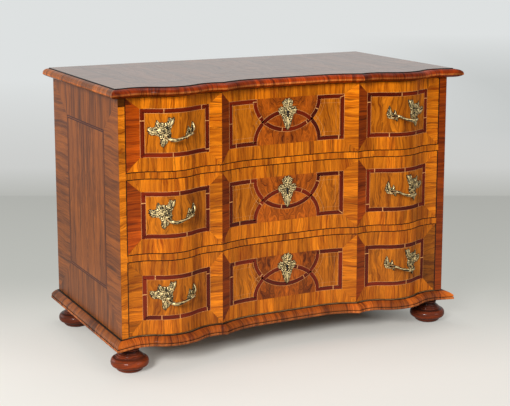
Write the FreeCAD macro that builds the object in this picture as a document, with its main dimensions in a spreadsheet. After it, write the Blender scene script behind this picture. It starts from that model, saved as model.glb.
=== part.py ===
"""A baroque chest of three drawers with a serpentine front, on bun feet.

Frame: millimetres, X to the right, Y from the front to the back, Z up. The origin is on the floor, under the
middle of the chest's box. The front is serpentine in plan and upright: a hollow in the middle, a sharp arris
on each side of it, then a bulge on each side and a cove to each corner.
"""
import FreeCAD, Part
import math
import os
import re

Vector = FreeCAD.Vector
doc = FreeCAD.newDocument("serpentine_chest")
sheet = doc.addObject("Spreadsheet::Sheet", "sizes")

# ---------------------------------------------------------------- driving dimensions, in mm
SIZES = [
    # the case
    ("case_width", 1106), ("case_depth", 578), ("foot_height", 78), ("base_thick", 26), ("top_thick", 29),
    ("bottom_height", 223), ("middle_height", 220), ("top_height", 216), ("rail_thick", 19), ("rail_depth", 100),
    ("side_thick", 22), ("stile_depth", 45), ("back_thick", 12),
    ("runner_width", 24), ("stop_width", 40), ("stop_depth", 15), ("stop_height", 8), ("stop_inset", 253),
    # the front's line in plan
    ("bulge_out", 18), ("bulge_inset", 168), ("wave_step", 117.5), ("cove_depth", 15),
    ("arris_inset", 321), ("hollow_depth", 39.5), ("hollow_run", 121),
    # the mouldings
    ("lip_out", 34), ("lip_rise", 10), ("lip_thick", 2.5), ("top_edge_out", 12), ("top_edge_thick", 2),
    ("plinth_out", 27), ("plinth_cap_out", 26), ("plinth_strip", 7), ("plinth_groove", 1.5), ("plinth_lip", 5),
    # the feet
    ("foot_inset", 33), ("foot_setback", 34), ("foot_back_inset", 72), ("foot_radius", 56), ("foot_base_radius", 33),
    ("foot_roll_radius", 43), ("foot_collar_radius", 28.5), ("foot_neck_radius", 25), ("tenon_radius", 12),
    ("tenon_length", 22),
    # the drawers
    ("front_thin", 20.5), ("front_gap", 1.5), ("end_gap", 0.8), ("box_side_thick", 12), ("box_side_gap", 1.5),
    ("back_play", 31), ("box_drop", 8), ("box_back_thick", 10), ("box_back_drop", 4), ("bottom_thick", 8),
    ("bottom_rise", 10), ("groove_depth", 5), ("tail_length", 18), ("tail_width", 26), ("tail_flare", 5),
    # the locks
    ("key_rise", 29), ("key_radius", 4.5), ("key_slot_width", 4), ("key_slot_drop", 13), ("lock_width", 90),
    ("lock_below_key", 40), ("lock_thick", 12), ("lock_plate", 3), ("key_pocket", 8), ("bolt_width", 26),
    ("bolt_thick", 7), ("bolt_length", 40), ("bolt_travel", 9), ("bolt_play", 0.1), ("bolt_drop", 0.3),
    ("mortise_play", 1), ("mortise_depth", 10),
    # the brasses
    ("plate_thick", 3.5), ("post_radius", 5), ("bar_radius", 4.5), ("bar_reach", 28), ("pull_inset", 135),
    ("pull_span", 78), ("pull_drop", 4), ("bar_sag", 7), ("knob_swell", 1.5), ("screw_radius", 2.5),
    ("screw_play", 0.25), ("screw_seat", 8), ("nut_radius", 7), ("nut_thick", 5), ("key_plate_thick", 3),
    ("key_plate_place", 0),
]
for row, (alias, value) in enumerate(SIZES, start=1):
    sheet.set(f"A{row}", alias)
    sheet.set(f"B{row}", str(value))
    sheet.setAlias(f"B{row}", alias)
doc.recompute()

# Places that follow from the sizes. Each is an expression of the sheet's cells or of the places before it.
PLACES = {
    "half_case": "case_width / 2",
    "inner": "half_case - side_thick",
    "back": "(case_depth + bulge_out + lip_out) / 2",
    "corner": "back - case_depth",
    "bottom_floor": "foot_height + base_thick",
    "bottom_ceiling": "bottom_floor + bottom_height",
    "middle_floor": "bottom_ceiling + rail_thick",
    "middle_ceiling": "middle_floor + middle_height",
    "top_floor": "middle_ceiling + rail_thick",
    "case_top": "top_floor + top_height",
    "overall_height": "case_top + top_thick",
    "front_back": "corner + hollow_depth + front_thin",
    "box_outer": "inner - box_side_gap",
    "box_inner": "box_outer - box_side_thick",
    "box_end": "back - back_thick - back_play",
    "pull_place": "half_case - pull_inset",
    "stop_place": "half_case - stop_inset",
    "lock_back": "front_back + lock_thick",
    "bolt_front": "front_back + lock_plate",
    "bolt_back": "bolt_front + bolt_thick",
}


def spell(text):
    """Writes an expression out in the sheet's own cells."""
    def word(match):
        name = match.group()
        return f"({spell(PLACES[name])})" if name in PLACES else f"sizes.{name}"
    return re.sub(r"[a-z][a-z_]+", word, text)


def value(text):
    """The value of an expression, as a plain number."""
    return float(sheet.evalExpression(spell(text)))


def bind(thing, **fields):
    """Binds an object's fields to expressions. x, y and z are its place."""
    for field, text in fields.items():
        path = f".Placement.Base.{field}" if field in "xyz" else field
        thing.setExpression(path, spell(text))
    return thing


def box(name, x, y, z):
    """A block between a low and a high place along each axis."""
    block = doc.addObject("Part::Box", name)
    spans = {field: f"({high}) - ({low})" for field, (low, high) in zip(("Length", "Width", "Height"), (x, y, z))}
    return bind(block, x=x[0], y=y[0], z=z[0], **spans)


def cylinder_back(name, radius, x, y, z):
    """A round bar that runs back along Y from its front end to its back end."""
    bar = doc.addObject("Part::Cylinder", name)
    bar.Placement.Rotation = FreeCAD.Rotation(Vector(1, 0, 0), -90)
    return bind(bar, x=x, y=y[0], z=z, Radius=radius, Height=f"({y[1]}) - ({y[0]})")


def solid(name, shape):
    """A shape made with Part's own functions, as an object of the document."""
    thing = doc.addObject("Part::Feature", name)
    thing.Shape = shape
    return thing


def joined(name, pieces):
    fuse = doc.addObject("Part::MultiFuse", name)
    fuse.Shapes = pieces
    return fuse


def grouped(name, pieces):
    group = doc.addObject("Part::Compound", name)
    group.Links = pieces
    return group


def cut(name, base, tools):
    """A piece with one or more others taken out of it."""
    thing = doc.addObject("Part::Cut", name)
    thing.Base = base
    thing.Tool = tools[0] if len(tools) == 1 else joined(f"{name}_tools", tools)
    return thing


def common(name, base, tool):
    thing = doc.addObject("Part::Common", name)
    thing.Base = base
    thing.Tool = tool
    return thing


NODES = []


def node(name, thing):
    """Marks an object as a piece of the chest. Its label names its file."""
    thing.Label = name
    NODES.append(thing)
    return thing


# ---------------------------------------------------------------- the front's line in plan
def edge(points, height=0):
    """A straight edge through two plan points, or an arc through three."""
    corners = [Vector(x, y, height) for x, y in points]
    if len(corners) == 2:
        return Part.LineSegment(*corners).toShape()
    return Part.Arc(*corners).toShape()


def arc_points(centre, radius, start, end, side):
    """Three points of an arc. side is 1 for a hollow, whose centre lies in front, and -1 for a bulge."""
    turns = (start, (start + end) / 2, end)
    return [(centre[0] + radius * math.sin(turn), centre[1] + side * radius * math.cos(turn)) for turn in turns]


def right_front_line():
    """The right half of the front's line, from the flat of the hollow out to the corner."""
    half_run = value("wave_step") / 2
    half_rise = (value("cove_depth") + value("bulge_out")) / 2
    radius = (half_run ** 2 + half_rise ** 2) / (2 * half_rise)
    swing = math.asin(half_run / radius)
    bulge_x = value("half_case - bulge_inset")
    bulge = (bulge_x, value("corner - bulge_out") + radius)
    cove_y = value("corner + cove_depth") - radius
    inner_cove = (bulge_x - value("wave_step"), cove_y)
    outer_cove = (bulge_x + value("wave_step"), cove_y)

    arris_turn = math.asin((value("half_case - arris_inset") - inner_cove[0]) / radius)
    coved = arc_points(inner_cove, radius, arris_turn, swing, 1)
    arris = coved[0]
    deep, hollow_run = value("corner + hollow_depth"), value("hollow_run")
    hollow_rise = deep - arris[1]
    hollow_radius = (hollow_run ** 2 + hollow_rise ** 2) / (2 * hollow_rise)
    sweep = math.asin(hollow_run / hollow_radius)
    hollow = (arris[0] - hollow_run, deep - hollow_radius)

    end_turn = math.asin((value("inner") - outer_cove[0]) / radius)
    last = arc_points(outer_cove, radius, -swing, end_turn, 1)
    corner = (value("half_case"), last[2][1] - value("side_thick") * math.tan(end_turn))
    return [arc_points(hollow, hollow_radius, 0, sweep, 1), coved, arc_points(bulge, radius, -swing, swing, -1),
            last, [last[2], corner]]


RIGHT_LINE = right_front_line()
CORNER_POINT = RIGHT_LINE[-1][-1]
mirrored = [[(-x, y) for x, y in points] for points in RIGHT_LINE]
flat_end = RIGHT_LINE[0][0]
left_corner = (-CORNER_POINT[0], CORNER_POINT[1])
back_right = (value("half_case"), value("back"))
back_left = (-back_right[0], back_right[1])
outline = [[back_left, left_corner], *mirrored[::-1], [(-flat_end[0], flat_end[1]), flat_end], *RIGHT_LINE,
           [CORNER_POINT, back_right]]


def case_path(height):
    """The line round the case's left side, front and right side, as a wire."""
    return Part.Wire(Part.sortEdges([edge(points, height) for points in outline])[0])


plan = solid("plan", Part.Face(Part.Wire(case_path(0).Edges + [edge([back_right, back_left])])))
case_block = doc.addObject("Part::Extrusion", "case_block")
case_block.Base = plan
case_block.DirMode = "Custom"
case_block.Dir = Vector(0, 0, 1)
case_block.Solid = True
bind(case_block, LengthFwd="overall_height")

FRONT = "corner - bulge_out - lip_out"


def serpentine(name, x, y_back, z):
    """A piece whose front face follows the front's line."""
    return common(name, case_block, box(f"{name}_block", x, (FRONT, y_back), z))


# ---------------------------------------------------------------- mouldings, mitred at the corners
def moulding(name, profile, height):
    """Runs a profile round the case and cuts it into a left, a front and a right length."""
    start = value("half_case")
    section = [edge_in_section(points, start, height) for points in profile]
    whole = case_path(height).makePipeShell([Part.Wire(section)], True, False, 1)
    end_slope = RIGHT_LINE[-1]
    run = Vector(end_slope[1][0] - end_slope[0][0], end_slope[1][1] - end_slope[0][1], 0).normalize()
    mitre = Vector(1 + run.y, -run.x, 0).normalize() * 4 * value("lip_out")
    x, y = CORNER_POINT
    deep = y + value("case_depth") / 2
    region = [(x, y), (x + mitre.x, y + mitre.y), (-x - mitre.x, y + mitre.y), (-x, y), (-x + 1, deep),
              (x - 1, deep), (x, y)]
    wedge = Part.Face(Part.makePolygon([Vector(px, py, 0) for px, py in region]))
    wedge = wedge.extrude(Vector(0, 0, value("overall_height")))
    lengths = {"front": whole.common(wedge).Solids[0]}
    for length in whole.cut(wedge).Solids:
        lengths["left" if length.CenterOfMass.x < 0 else "right"] = length
    for side, length in lengths.items():
        node(f"{name}_{side}", solid(f"{name}_{side}", length))


def edge_in_section(points, start, height):
    """An edge of a profile, drawn at the case's back left corner. A profile's points are (out, up)."""
    corners = [Vector(-start - out, back_left[1], height + up) for out, up in points]
    if len(corners) == 2:
        return Part.LineSegment(*corners).toShape()
    return Part.Arc(*corners).toShape()


lip, rise, thick = value("lip_out"), value("lip_rise"), value("top_thick")
lip_top = rise + value("lip_thick")
edge_out, edge_low = value("top_edge_out"), thick - value("top_edge_thick")
moulding("top_moulding", [
    [(0, 0), (edge_out / 2, 0)],
    [(edge_out / 2, 0), (lip * 0.65, rise * 0.3), (lip, rise)],
    [(lip, rise), (lip, lip_top)],
    [(lip, lip_top), (edge_out + (lip - edge_out) * 0.74, lip_top + (edge_low - lip_top) * 0.72),
     (edge_out, edge_low)],
    [(edge_out, edge_low), (edge_out, thick)],
    [(edge_out, thick), (0, thick)],
    [(0, thick), (0, 0)],
], value("case_top"))

base, strip = value("base_thick"), value("plinth_strip")
strip_out, cap_out = value("plinth_out"), value("plinth_cap_out")
groove_top = strip + value("plinth_groove")
cap_low = groove_top + value("plinth_lip")
groove_out = cap_out - 2 * value("plinth_groove")
moulding("plinth_moulding", [
    [(0, 0), (strip_out, 0)],
    [(strip_out, 0), (strip_out, strip)],
    [(strip_out, strip), (groove_out, strip)],
    [(groove_out, strip), (groove_out, groove_top)],
    [(groove_out, groove_top), (cap_out, groove_top)],
    [(cap_out, groove_top), (cap_out, cap_low)],
    [(cap_out, cap_low), (cap_out * 0.62, cap_low + (base - cap_low) * 0.5), (cap_out * 0.15, base)],
    [(cap_out * 0.15, base), (0, base)],
    [(0, base), (0, 0)],
], value("foot_height"))

# ---------------------------------------------------------------- the case
WHOLE_WIDTH = ("-half_case", "half_case")
BETWEEN = ("-inner", "inner")
SIDES = {"left": ("-half_case", "-inner"), "right": ("inner", "half_case")}
for side, x in SIDES.items():
    upright = ("bottom_floor", "case_top")
    node(f"stile_{side}", serpentine(f"stile_{side}", x, "corner + stile_depth", upright))
    node(f"side_{side}", box(f"side_{side}", x, ("corner + stile_depth", "back"), upright))

BACK_BOARDS = 3
for board in range(BACK_BOARDS):
    low, high = (f"bottom_floor + (case_top - bottom_floor) * {step} / {BACK_BOARDS}" for step in (board, board + 1))
    node(f"back_board_{board + 1}", box(f"back_board_{board + 1}", BETWEEN, ("back - back_thick", "back"),
                                        (low, high)))


def mortise(name, ceiling):
    """The hole above a drawer that its lock bolt rises into."""
    return box(name, ("-bolt_width / 2 - mortise_play", "bolt_width / 2 + mortise_play"),
               ("bolt_front - mortise_play", "bolt_back + mortise_play"), (ceiling, f"{ceiling} + mortise_depth"))


top_blank = serpentine("top_blank", WHOLE_WIDTH, "back", ("case_top", "overall_height"))
node("top_board", cut("top_board", top_blank, [mortise("top_mortise", "case_top")]))
for name, low, high in (("lower", "bottom_ceiling", "middle_floor"), ("upper", "middle_ceiling", "top_floor")):
    rail = serpentine(f"rail_{name}_blank", BETWEEN, "corner + rail_depth", (low, high))
    node(f"rail_{name}", cut(f"rail_{name}", rail, [mortise(f"rail_{name}_mortise", low)]))
    for side, x in {"left": ("-inner", "runner_width - inner"), "right": ("inner - runner_width", "inner")}.items():
        runner = box(f"runner_{name}_{side}", x, ("corner + rail_depth", "back - back_thick"), (low, high))
        node(f"runner_{name}_{side}", runner)

stops = []
for level in ("bottom", "middle", "top"):
    for side, sign in (("left", "-"), ("right", "")):
        x = (f"{sign}stop_place - stop_width / 2", f"{sign}stop_place + stop_width / 2")
        z = (f"{level}_floor", f"{level}_floor + stop_height")
        stops.append(box(f"stop_{level}_{side}", x, ("front_back", "front_back + stop_depth"), z))
node("drawer_stops", grouped("drawer_stops", stops))


# ---------------------------------------------------------------- the feet
def foot_profile():
    """Half of a turned foot, from its axis: lists of (radius, height) for straight edges and arcs."""
    height, radius, roll = value("foot_height"), value("foot_radius"), value("foot_roll_radius")
    base, collar, neck = value("foot_base_radius"), value("foot_collar_radius"), value("foot_neck_radius")
    tenon, top = value("tenon_radius"), height + value("tenon_length")
    roll_high, bun_low, bun_middle, bun_high = height * 0.12, height * 0.14, height * 0.32, height * 0.53
    slope_high, collar_low, collar_high = height * 0.73, height * 0.77, height * 0.9
    waist, shoulder = roll * 0.95, radius * 0.82
    step, slope_end = shoulder * 0.93, neck * 1.14
    return [
        [(0, 0), (base, 0)],
        [(base, 0), (roll - (roll - base) * 0.2, roll_high * 0.4), (roll, roll_high)],
        [(roll, roll_high), (waist, bun_low)],
        [(waist, bun_low), (radius * 0.94, bun_middle * 0.59), (radius, bun_middle)],
        [(radius, bun_middle), (radius * 0.955, bun_middle + (bun_high - bun_middle) * 0.6), (shoulder, bun_high)],
        [(shoulder, bun_high), (step, bun_high + height * 0.015)],
        [(step, bun_high + height * 0.015), ((step + slope_end) / 2 + radius * 0.02, (bun_high + slope_high) / 2),
         (slope_end, slope_high)],
        [(slope_end, slope_high), (neck, collar_low)],
        [(neck, collar_low), (collar, (collar_low + collar_high) / 2), (neck, collar_high)],
        [(neck, collar_high), (collar, height)],
        [(collar, height), (tenon, height)],
        [(tenon, height), (tenon, top)],
        [(tenon, top), (0, top)],
        [(0, top), (0, 0)],
    ]


def foot(name, x, y):
    """A bun foot, turned in one piece with the tenon that holds it in the bottom board."""
    body = doc.addObject("PartDesign::Body", name)
    plane = next(part for part in body.Origin.OriginFeatures if part.Role == "XZ_Plane")
    sketch = body.newObject("Sketcher::SketchObject", f"{name}_profile")
    sketch.AttachmentSupport = [(plane, "")]
    sketch.MapMode = "FlatFace"
    for points in foot_profile():
        corners = [Vector(radius, height, 0) for radius, height in points]
        sketch.addGeometry(Part.LineSegment(*corners) if len(corners) == 2 else Part.ArcOfCircle(*corners))
    turning = body.newObject("PartDesign::Revolution", f"{name}_turning")
    turning.Profile = sketch
    turning.ReferenceAxis = (sketch, ["V_Axis"])
    turning.Angle = 360
    return bind(body, x=x, y=y)


def foot_socket(name, x, y):
    socket = doc.addObject("Part::Cylinder", name)
    return bind(socket, x=x, y=y, z="foot_height", Radius="tenon_radius", Height="tenon_length")


sockets = []
for side, x in (("left", "foot_inset - half_case"), ("right", "half_case - foot_inset")):
    for end, y in (("front", "corner + foot_setback"), ("back", "back - foot_back_inset")):
        node(f"foot_{end}_{side}", foot(f"foot_{end}_{side}", x, y))
        sockets.append(foot_socket(f"socket_{end}_{side}", x, y))
bottom_blank = serpentine("bottom_blank", WHOLE_WIDTH, "back", ("foot_height", "bottom_floor"))
node("bottom_board", cut("bottom_board", bottom_blank, sockets))

# ---------------------------------------------------------------- the brasses' outlines, (out, up) in mm
# A pull has a large shell round its outer post and a leaf round its inner one, each drawn from its own post,
# with out towards the chest's side. A key plate is drawn from the keyhole's eye, one half of it.
SHELL = [(49, 23), (47, 10), (38, 1), (24, 1), (16, -8), (15, -26), (8, -34), (1, -25), (-6, -13), (-16, -2),
         (-15, 17), (-20, 27), (-27, 43), (-26, 54), (-17, 52), (-8, 55), (-5, 43), (1, 37), (12, 40), (19, 40),
         (26, 49), (30, 37), (30, 27), (36, 24), (43, 26)]
LEAF = [(-1, 17), (-7, 36), (-12, 24), (-15, 11), (-12, -2), (-3, -5), (7, -5), (15, -14), (19, -3), (14, 8),
        (9, 24), (4, 14)]
KEY_PLATE = [(0, 42), (9, 40), (14, 35), (19, 31), (15, 23), (17, 16), (24, 17), (32, 8), (30, -4), (22, -9),
             (18, -19), (13, -29), (8, -39), (4, -48), (0, -56)]


def closed_curve(points, place, stride=3):
    """A smooth closed outline through its points, as an upright face. Each edge spans a few of its points."""
    curve = Part.BSplineCurve()
    curve.interpolate([place(out, up) for out, up in points], PeriodicFlag=True)
    knots = curve.getKnots()
    ends = [*knots[:-1:stride], knots[-1]]
    edges = []
    for start, end in zip(ends, ends[1:]):
        stretch = curve.copy()
        stretch.segment(start, end)
        edges.append(stretch.toShape())
    return Part.Face(Part.Wire(Part.sortEdges(edges)[0]))


skin_front = doc.addObject("Part::Extrusion", "skin_front")
skin_front.Base = solid("plan_forward", plan.Shape.translated(Vector(0, -value("plate_thick"), 0)))
skin_front.DirMode = "Custom"
skin_front.Dir = Vector(0, 0, 1)
skin_front.Solid = True
bind(skin_front, LengthFwd="overall_height")
skin = cut("skin", skin_front, [case_block])


def front_place(x):
    """How far back the front's face lies at a place along X."""
    ray = Part.LineSegment(Vector(x, value(FRONT), 0), Vector(x, value("back") - 1, 0)).toShape()
    return plan.Shape.common(ray).BoundBox.YMin


def pull(name, side, height):
    """A cast pull: two plates bent to the front's face, two posts, and the bar between them."""
    outer, inner = value("pull_place"), value("pull_place") - value("pull_span")
    reach = value("corner - bulge_out - bar_reach") + value("plate_thick")
    deep = value("hollow_depth") + value("bulge_out")
    plates = []
    for points, start in ((SHELL, outer), (LEAF, inner)):
        def place(out, up, start=start):
            return Vector(side * (start + out), value(FRONT), height + up)
        prism = closed_curve(points, place).extrude(Vector(0, value("lip_out") + deep, 0))
        plates.append(prism.common(skin.Shape))
    posts, holes = [], []
    for start in (outer, inner):
        face, root = front_place(start), value("post_radius")
        seat = Vector(side * start, face + root, height)
        post = Part.makeCylinder(root, face + root - reach, seat, Vector(0, -1, 0))
        posts.append(post.cut(case_block.Shape))
        knob = root + value("knob_swell")
        posts.append(Part.makeCylinder(knob, 2 * knob, Vector(side * start, reach - knob, height), Vector(0, 1, 0)))
        holes.append(Part.makeCylinder(value("screw_radius"), value("screw_seat") + root, seat, Vector(0, -1, 0)))
    ends = [Vector(side * start, reach, height) for start in (outer, inner)]
    sag = Vector(side * (outer + inner) / 2, reach, height - value("bar_sag"))
    path = Part.Wire(Part.Arc(ends[0], sag, ends[1]).toShape())
    tangent = path.Edges[0].tangentAt(path.Edges[0].FirstParameter)
    bar = path.makePipeShell([Part.Wire(Part.makeCircle(value("bar_radius"), ends[0], tangent))], True, True)
    casting = plates[0].multiFuse([plates[1], *posts, bar]).cut(Part.makeCompound(holes))
    return solid(name, casting.Solids[0])


# ---------------------------------------------------------------- the drawers
TAILS = 4


def tails(level, side):
    """The dovetails at the front end of a drawer's side."""
    pieces = []
    low_x = "-box_outer" if side == "left" else "box_inner"
    for step in range(TAILS):
        tail = doc.addObject("Part::Wedge", f"{level}_{side}_tail_{step}")
        middle = f"{level}_floor + bottom_rise + bottom_thick + ({level}_height - box_drop - bottom_rise" \
                 f" - bottom_thick) * ({step} + 0.5) / {TAILS}"
        narrow = "tail_width / 2 - tail_flare"
        bind(tail, Xmin="0", X2min="0", Xmax="box_side_thick", X2max="box_side_thick", Ymin="0", Ymax="tail_length",
             Zmin="-tail_width / 2", Zmax="tail_width / 2", Z2min=f"-({narrow})", Z2max=narrow)
        bind(tail, x=low_x, y="front_back - tail_length", z=middle)
        pieces.append(tail)
    return pieces


def key_hole(name, y, height):
    """A keyhole's round eye and its slot, from one place along Y to another."""
    eye = cylinder_back(f"{name}_eye", "key_radius", "key_plate_place", y, height)
    slot = box(f"{name}_slot", ("key_plate_place - key_slot_width / 2", "key_plate_place + key_slot_width / 2"), y,
               (f"{height} - key_slot_drop", height))
    return [eye, slot]


def drawer(level):
    """One drawer, with its lock, key plate and two pulls."""
    floor, ceiling = f"{level}_floor", f"{level}_floor + {level}_height"
    name = f"{level}_drawer"
    front_top = f"{ceiling} - front_gap"
    key_height = f"{floor} + {level}_height / 2 + key_rise"
    pull_height = f"{floor} + {level}_height / 2 - pull_drop"
    box_top = f"{ceiling} - box_drop"
    bottom_low, bottom_high = f"{floor} + bottom_rise", f"{floor} + bottom_rise + bottom_thick"
    groove = "box_inner + groove_depth"

    bottom = box(f"{name}_bottom", (f"-({groove})", groove), ("front_back - groove_depth", "box_end"),
                 (bottom_low, bottom_high))
    node(f"{name}_bottom", bottom)
    all_tails = []
    for side, x in (("left", ("-box_outer", "-box_inner")), ("right", ("box_inner", "box_outer"))):
        board = box(f"{name}_{side}_board", x, ("front_back", "box_end"), (floor, box_top))
        ends = tails(level, side)
        all_tails += ends
        node(f"{name}_{side}", cut(f"{name}_{side}", joined(f"{name}_{side}_tailed", [board, *ends]), [bottom]))
    node(f"{name}_back", box(f"{name}_back", ("-box_inner", "box_inner"), ("box_end - box_back_thick", "box_end"),
                             (bottom_high, f"{box_top} - box_back_drop")))

    blank = serpentine(f"{name}_blank", ("end_gap - inner", "inner - end_gap"), "front_back",
                       (f"{floor} + front_gap", front_top))
    through = (FRONT, "front_back")
    drillings = key_hole(f"{name}_key_hole", through, key_height)
    screws = []
    for side, sign in (("left", "-"), ("right", "")):
        for end, place in (("outer", "pull_place"), ("inner", "(pull_place - pull_span)")):
            x, label = f"{sign}{place}", f"{name}_{side}_{end}"
            drillings.append(cylinder_back(f"{label}_drilling", "screw_radius + screw_play", x, through, pull_height))
            start = front_place(value(place)) - value("screw_seat")
            reach = (str(start), "front_back + nut_thick + screw_radius")
            screws.append(cylinder_back(f"{label}_screw", "screw_radius", x, reach, pull_height))
            nut = cylinder_back(f"{label}_nut_blank", "nut_radius", x, ("front_back", "front_back + nut_thick"),
                                pull_height)
            bore = cylinder_back(f"{label}_nut_bore", "screw_radius", x, ("front_back", "front_back + nut_thick"),
                                 pull_height)
            screws.append(cut(f"{label}_nut", nut, [bore]))
    node(f"{name}_front", cut(f"{name}_front", blank, [*drillings, *all_tails, bottom]))
    node(f"{name}_screws", grouped(f"{name}_screws", screws))

    pocket = ("front_back", "front_back + key_pocket")
    half_bolt = "bolt_width / 2"
    bolt_top = f"{front_top} - bolt_drop"
    bolt_low = f"{bolt_top} - bolt_length"
    lock = box(f"{name}_lock_blank", ("-lock_width / 2", "lock_width / 2"), ("front_back", "lock_back"),
               (f"{key_height} - lock_below_key", front_top))
    channel = box(f"{name}_bolt_channel", (f"-{half_bolt} - bolt_play", f"{half_bolt} + bolt_play"),
                  ("bolt_front - bolt_play", "bolt_back + bolt_play"), (bolt_low, f"{front_top} + bolt_travel"))
    node(f"{name}_lock", cut(f"{name}_lock", lock, [channel, *key_hole(f"{name}_lock_key", pocket, key_height)]))
    node(f"{name}_bolt", box(f"{name}_bolt", (f"-{half_bolt}", half_bolt), ("bolt_front", "bolt_back"),
                             (bolt_low, bolt_top)))

    middle, key = value("key_plate_place"), value(key_height)
    deep = value("corner + hollow_depth")
    points = KEY_PLATE + [(-out, up) for out, up in KEY_PLATE[-2:0:-1]]
    plate = closed_curve(points, lambda out, up: Vector(middle + out, deep, key + up))
    plate = solid(f"{name}_key_plate_blank", plate.extrude(Vector(0, -value("key_plate_thick"), 0)))
    node(f"{name}_key_plate", cut(f"{name}_key_plate", plate,
                                  key_hole(f"{name}_plate_key", (FRONT, "front_back"), key_height)))
    doc.recompute()
    for side, sign in (("left", -1), ("right", 1)):
        node(f"{name}_pull_{side}", pull(f"{name}_pull_{side}", sign, value(pull_height)))


doc.recompute()
for level in ("bottom", "middle", "top"):
    drawer(level)

# ---------------------------------------------------------------- checks and export
doc.recompute()
failed = [thing.Name for thing in doc.Objects if {"Invalid", "Error"} & set(thing.State)]
failed += [piece.Label for piece in NODES if piece.Shape.isNull() or not piece.Shape.isValid()]
if failed:
    raise RuntimeError(f"these objects failed: {failed}")

os.makedirs("parts", exist_ok=True)
for piece in NODES:
    piece.Shape.exportStep(f"parts/{piece.Label}.step")
    bounds = piece.Shape.optimalBoundingBox()
    print(f"{piece.Label:28s} {len(piece.Shape.Solids)} solid(s) {piece.Shape.Volume / 1000:10.2f} cm3",
          f"x {bounds.XMin:8.2f} {bounds.XMax:8.2f}  y {bounds.YMin:8.2f} {bounds.YMax:8.2f}",
          f"z {bounds.ZMin:8.2f} {bounds.ZMax:8.2f}")
print(len(NODES), "pieces")
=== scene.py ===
"""A baroque chest of drawers: veneers, inlay, mouldings, turned feet and cast brasses round its frame."""
import math

import bpy
import numpy as np
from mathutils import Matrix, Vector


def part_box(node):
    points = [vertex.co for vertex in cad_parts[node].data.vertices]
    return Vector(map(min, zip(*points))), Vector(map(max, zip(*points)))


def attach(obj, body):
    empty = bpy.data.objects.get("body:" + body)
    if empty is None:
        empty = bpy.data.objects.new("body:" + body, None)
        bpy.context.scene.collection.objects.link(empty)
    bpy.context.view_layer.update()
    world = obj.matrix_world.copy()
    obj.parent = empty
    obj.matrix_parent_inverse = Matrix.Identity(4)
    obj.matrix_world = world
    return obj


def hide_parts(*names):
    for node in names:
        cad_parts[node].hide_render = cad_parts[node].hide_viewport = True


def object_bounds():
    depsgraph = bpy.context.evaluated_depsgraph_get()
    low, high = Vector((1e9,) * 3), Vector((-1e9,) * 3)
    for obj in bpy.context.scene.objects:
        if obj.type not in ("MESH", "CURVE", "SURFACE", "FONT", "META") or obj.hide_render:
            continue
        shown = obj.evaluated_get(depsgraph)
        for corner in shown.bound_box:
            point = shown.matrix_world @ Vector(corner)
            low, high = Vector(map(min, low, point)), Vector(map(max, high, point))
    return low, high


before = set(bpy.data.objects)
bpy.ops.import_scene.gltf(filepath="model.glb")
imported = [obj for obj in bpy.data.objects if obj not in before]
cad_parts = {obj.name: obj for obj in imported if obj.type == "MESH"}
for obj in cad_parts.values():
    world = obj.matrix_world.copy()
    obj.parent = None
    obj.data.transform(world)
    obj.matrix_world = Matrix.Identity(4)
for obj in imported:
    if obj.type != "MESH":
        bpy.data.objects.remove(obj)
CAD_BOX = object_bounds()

bl_info = {
    "name": "Serpentine chest of drawers",
    "version": (1, 0, 0),
    "blender": (4, 5, 0),
    "location": "3D View > Sidebar > Chest",
    "description": "Dresses the frame of a serpentine chest with veneers, inlay, mouldings, feet and brasses",
    "category": "Object",
}

MM = 0.001
LEVELS = ("bottom", "middle", "top")
SIDES = {"left": -1, "right": 1}
QUARTER, WHOLE_TURN = math.pi / 2, 2 * math.pi

CASE_LOW, CASE_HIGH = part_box("side_right")
TOP_LOW, TOP_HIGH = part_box("top_board")
BASE_LOW, BASE_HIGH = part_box("bottom_board")
STILE_LOW, STILE_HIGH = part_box("stile_right")
HALF_CASE, INNER, BACK = CASE_HIGH.x, CASE_LOW.x, CASE_HIGH.y
CORNER = BACK - 0.578    # the front of the case at its corners


def colour(red, green, blue):
    """A colour given as the eye sees it, 0 to 255, as Blender's linear light."""
    shares = np.array((red, green, blue)) / 255
    return tuple(np.where(shares <= 0.04045, shares / 12.92, ((shares + 0.055) / 1.055) ** 2.4))


def plain_number(name, default, description, **kind):
    """A number property."""
    return bpy.props.FloatProperty(name=name, default=default, description=description, **kind)


def length(name, millimetres, description):
    """A size property in metres, written in millimetres."""
    return plain_number(name, millimetres * MM, description, unit="LENGTH")


def angle(name, degrees, description):
    """An angle property, written in degrees."""
    return plain_number(name, math.radians(degrees), description, subtype="ANGLE")


def tint(name, rgb, description):
    """A colour property."""
    return bpy.props.FloatVectorProperty(name=name, default=colour(*rgb), description=description,
                                         subtype="COLOR", size=3, min=0, max=1)


# --- what a user would change
class FrontLine(bpy.types.PropertyGroup):
    """The serpentine line of the front, as the case has it."""
    bulge_out: length("Bulge", 18, "How far the bulges stand in front of the corners")
    bulge_inset: length("Bulge inset", 168, "From a bulge's middle to the case's side")
    wave_step: length("Wave step", 117.5, "From a bulge's middle to a cove's middle, along the width")
    cove_depth: length("Cove depth", 15, "How far the coves lie behind the corners")
    arris_inset: length("Arris inset", 321, "From the sharp arris to the case's side")
    hollow_depth: length("Hollow depth", 39.5, "How far the middle of the front lies behind the corners")
    hollow_run: length("Hollow run", 121, "Width of each of the hollow's curved ends")


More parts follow.
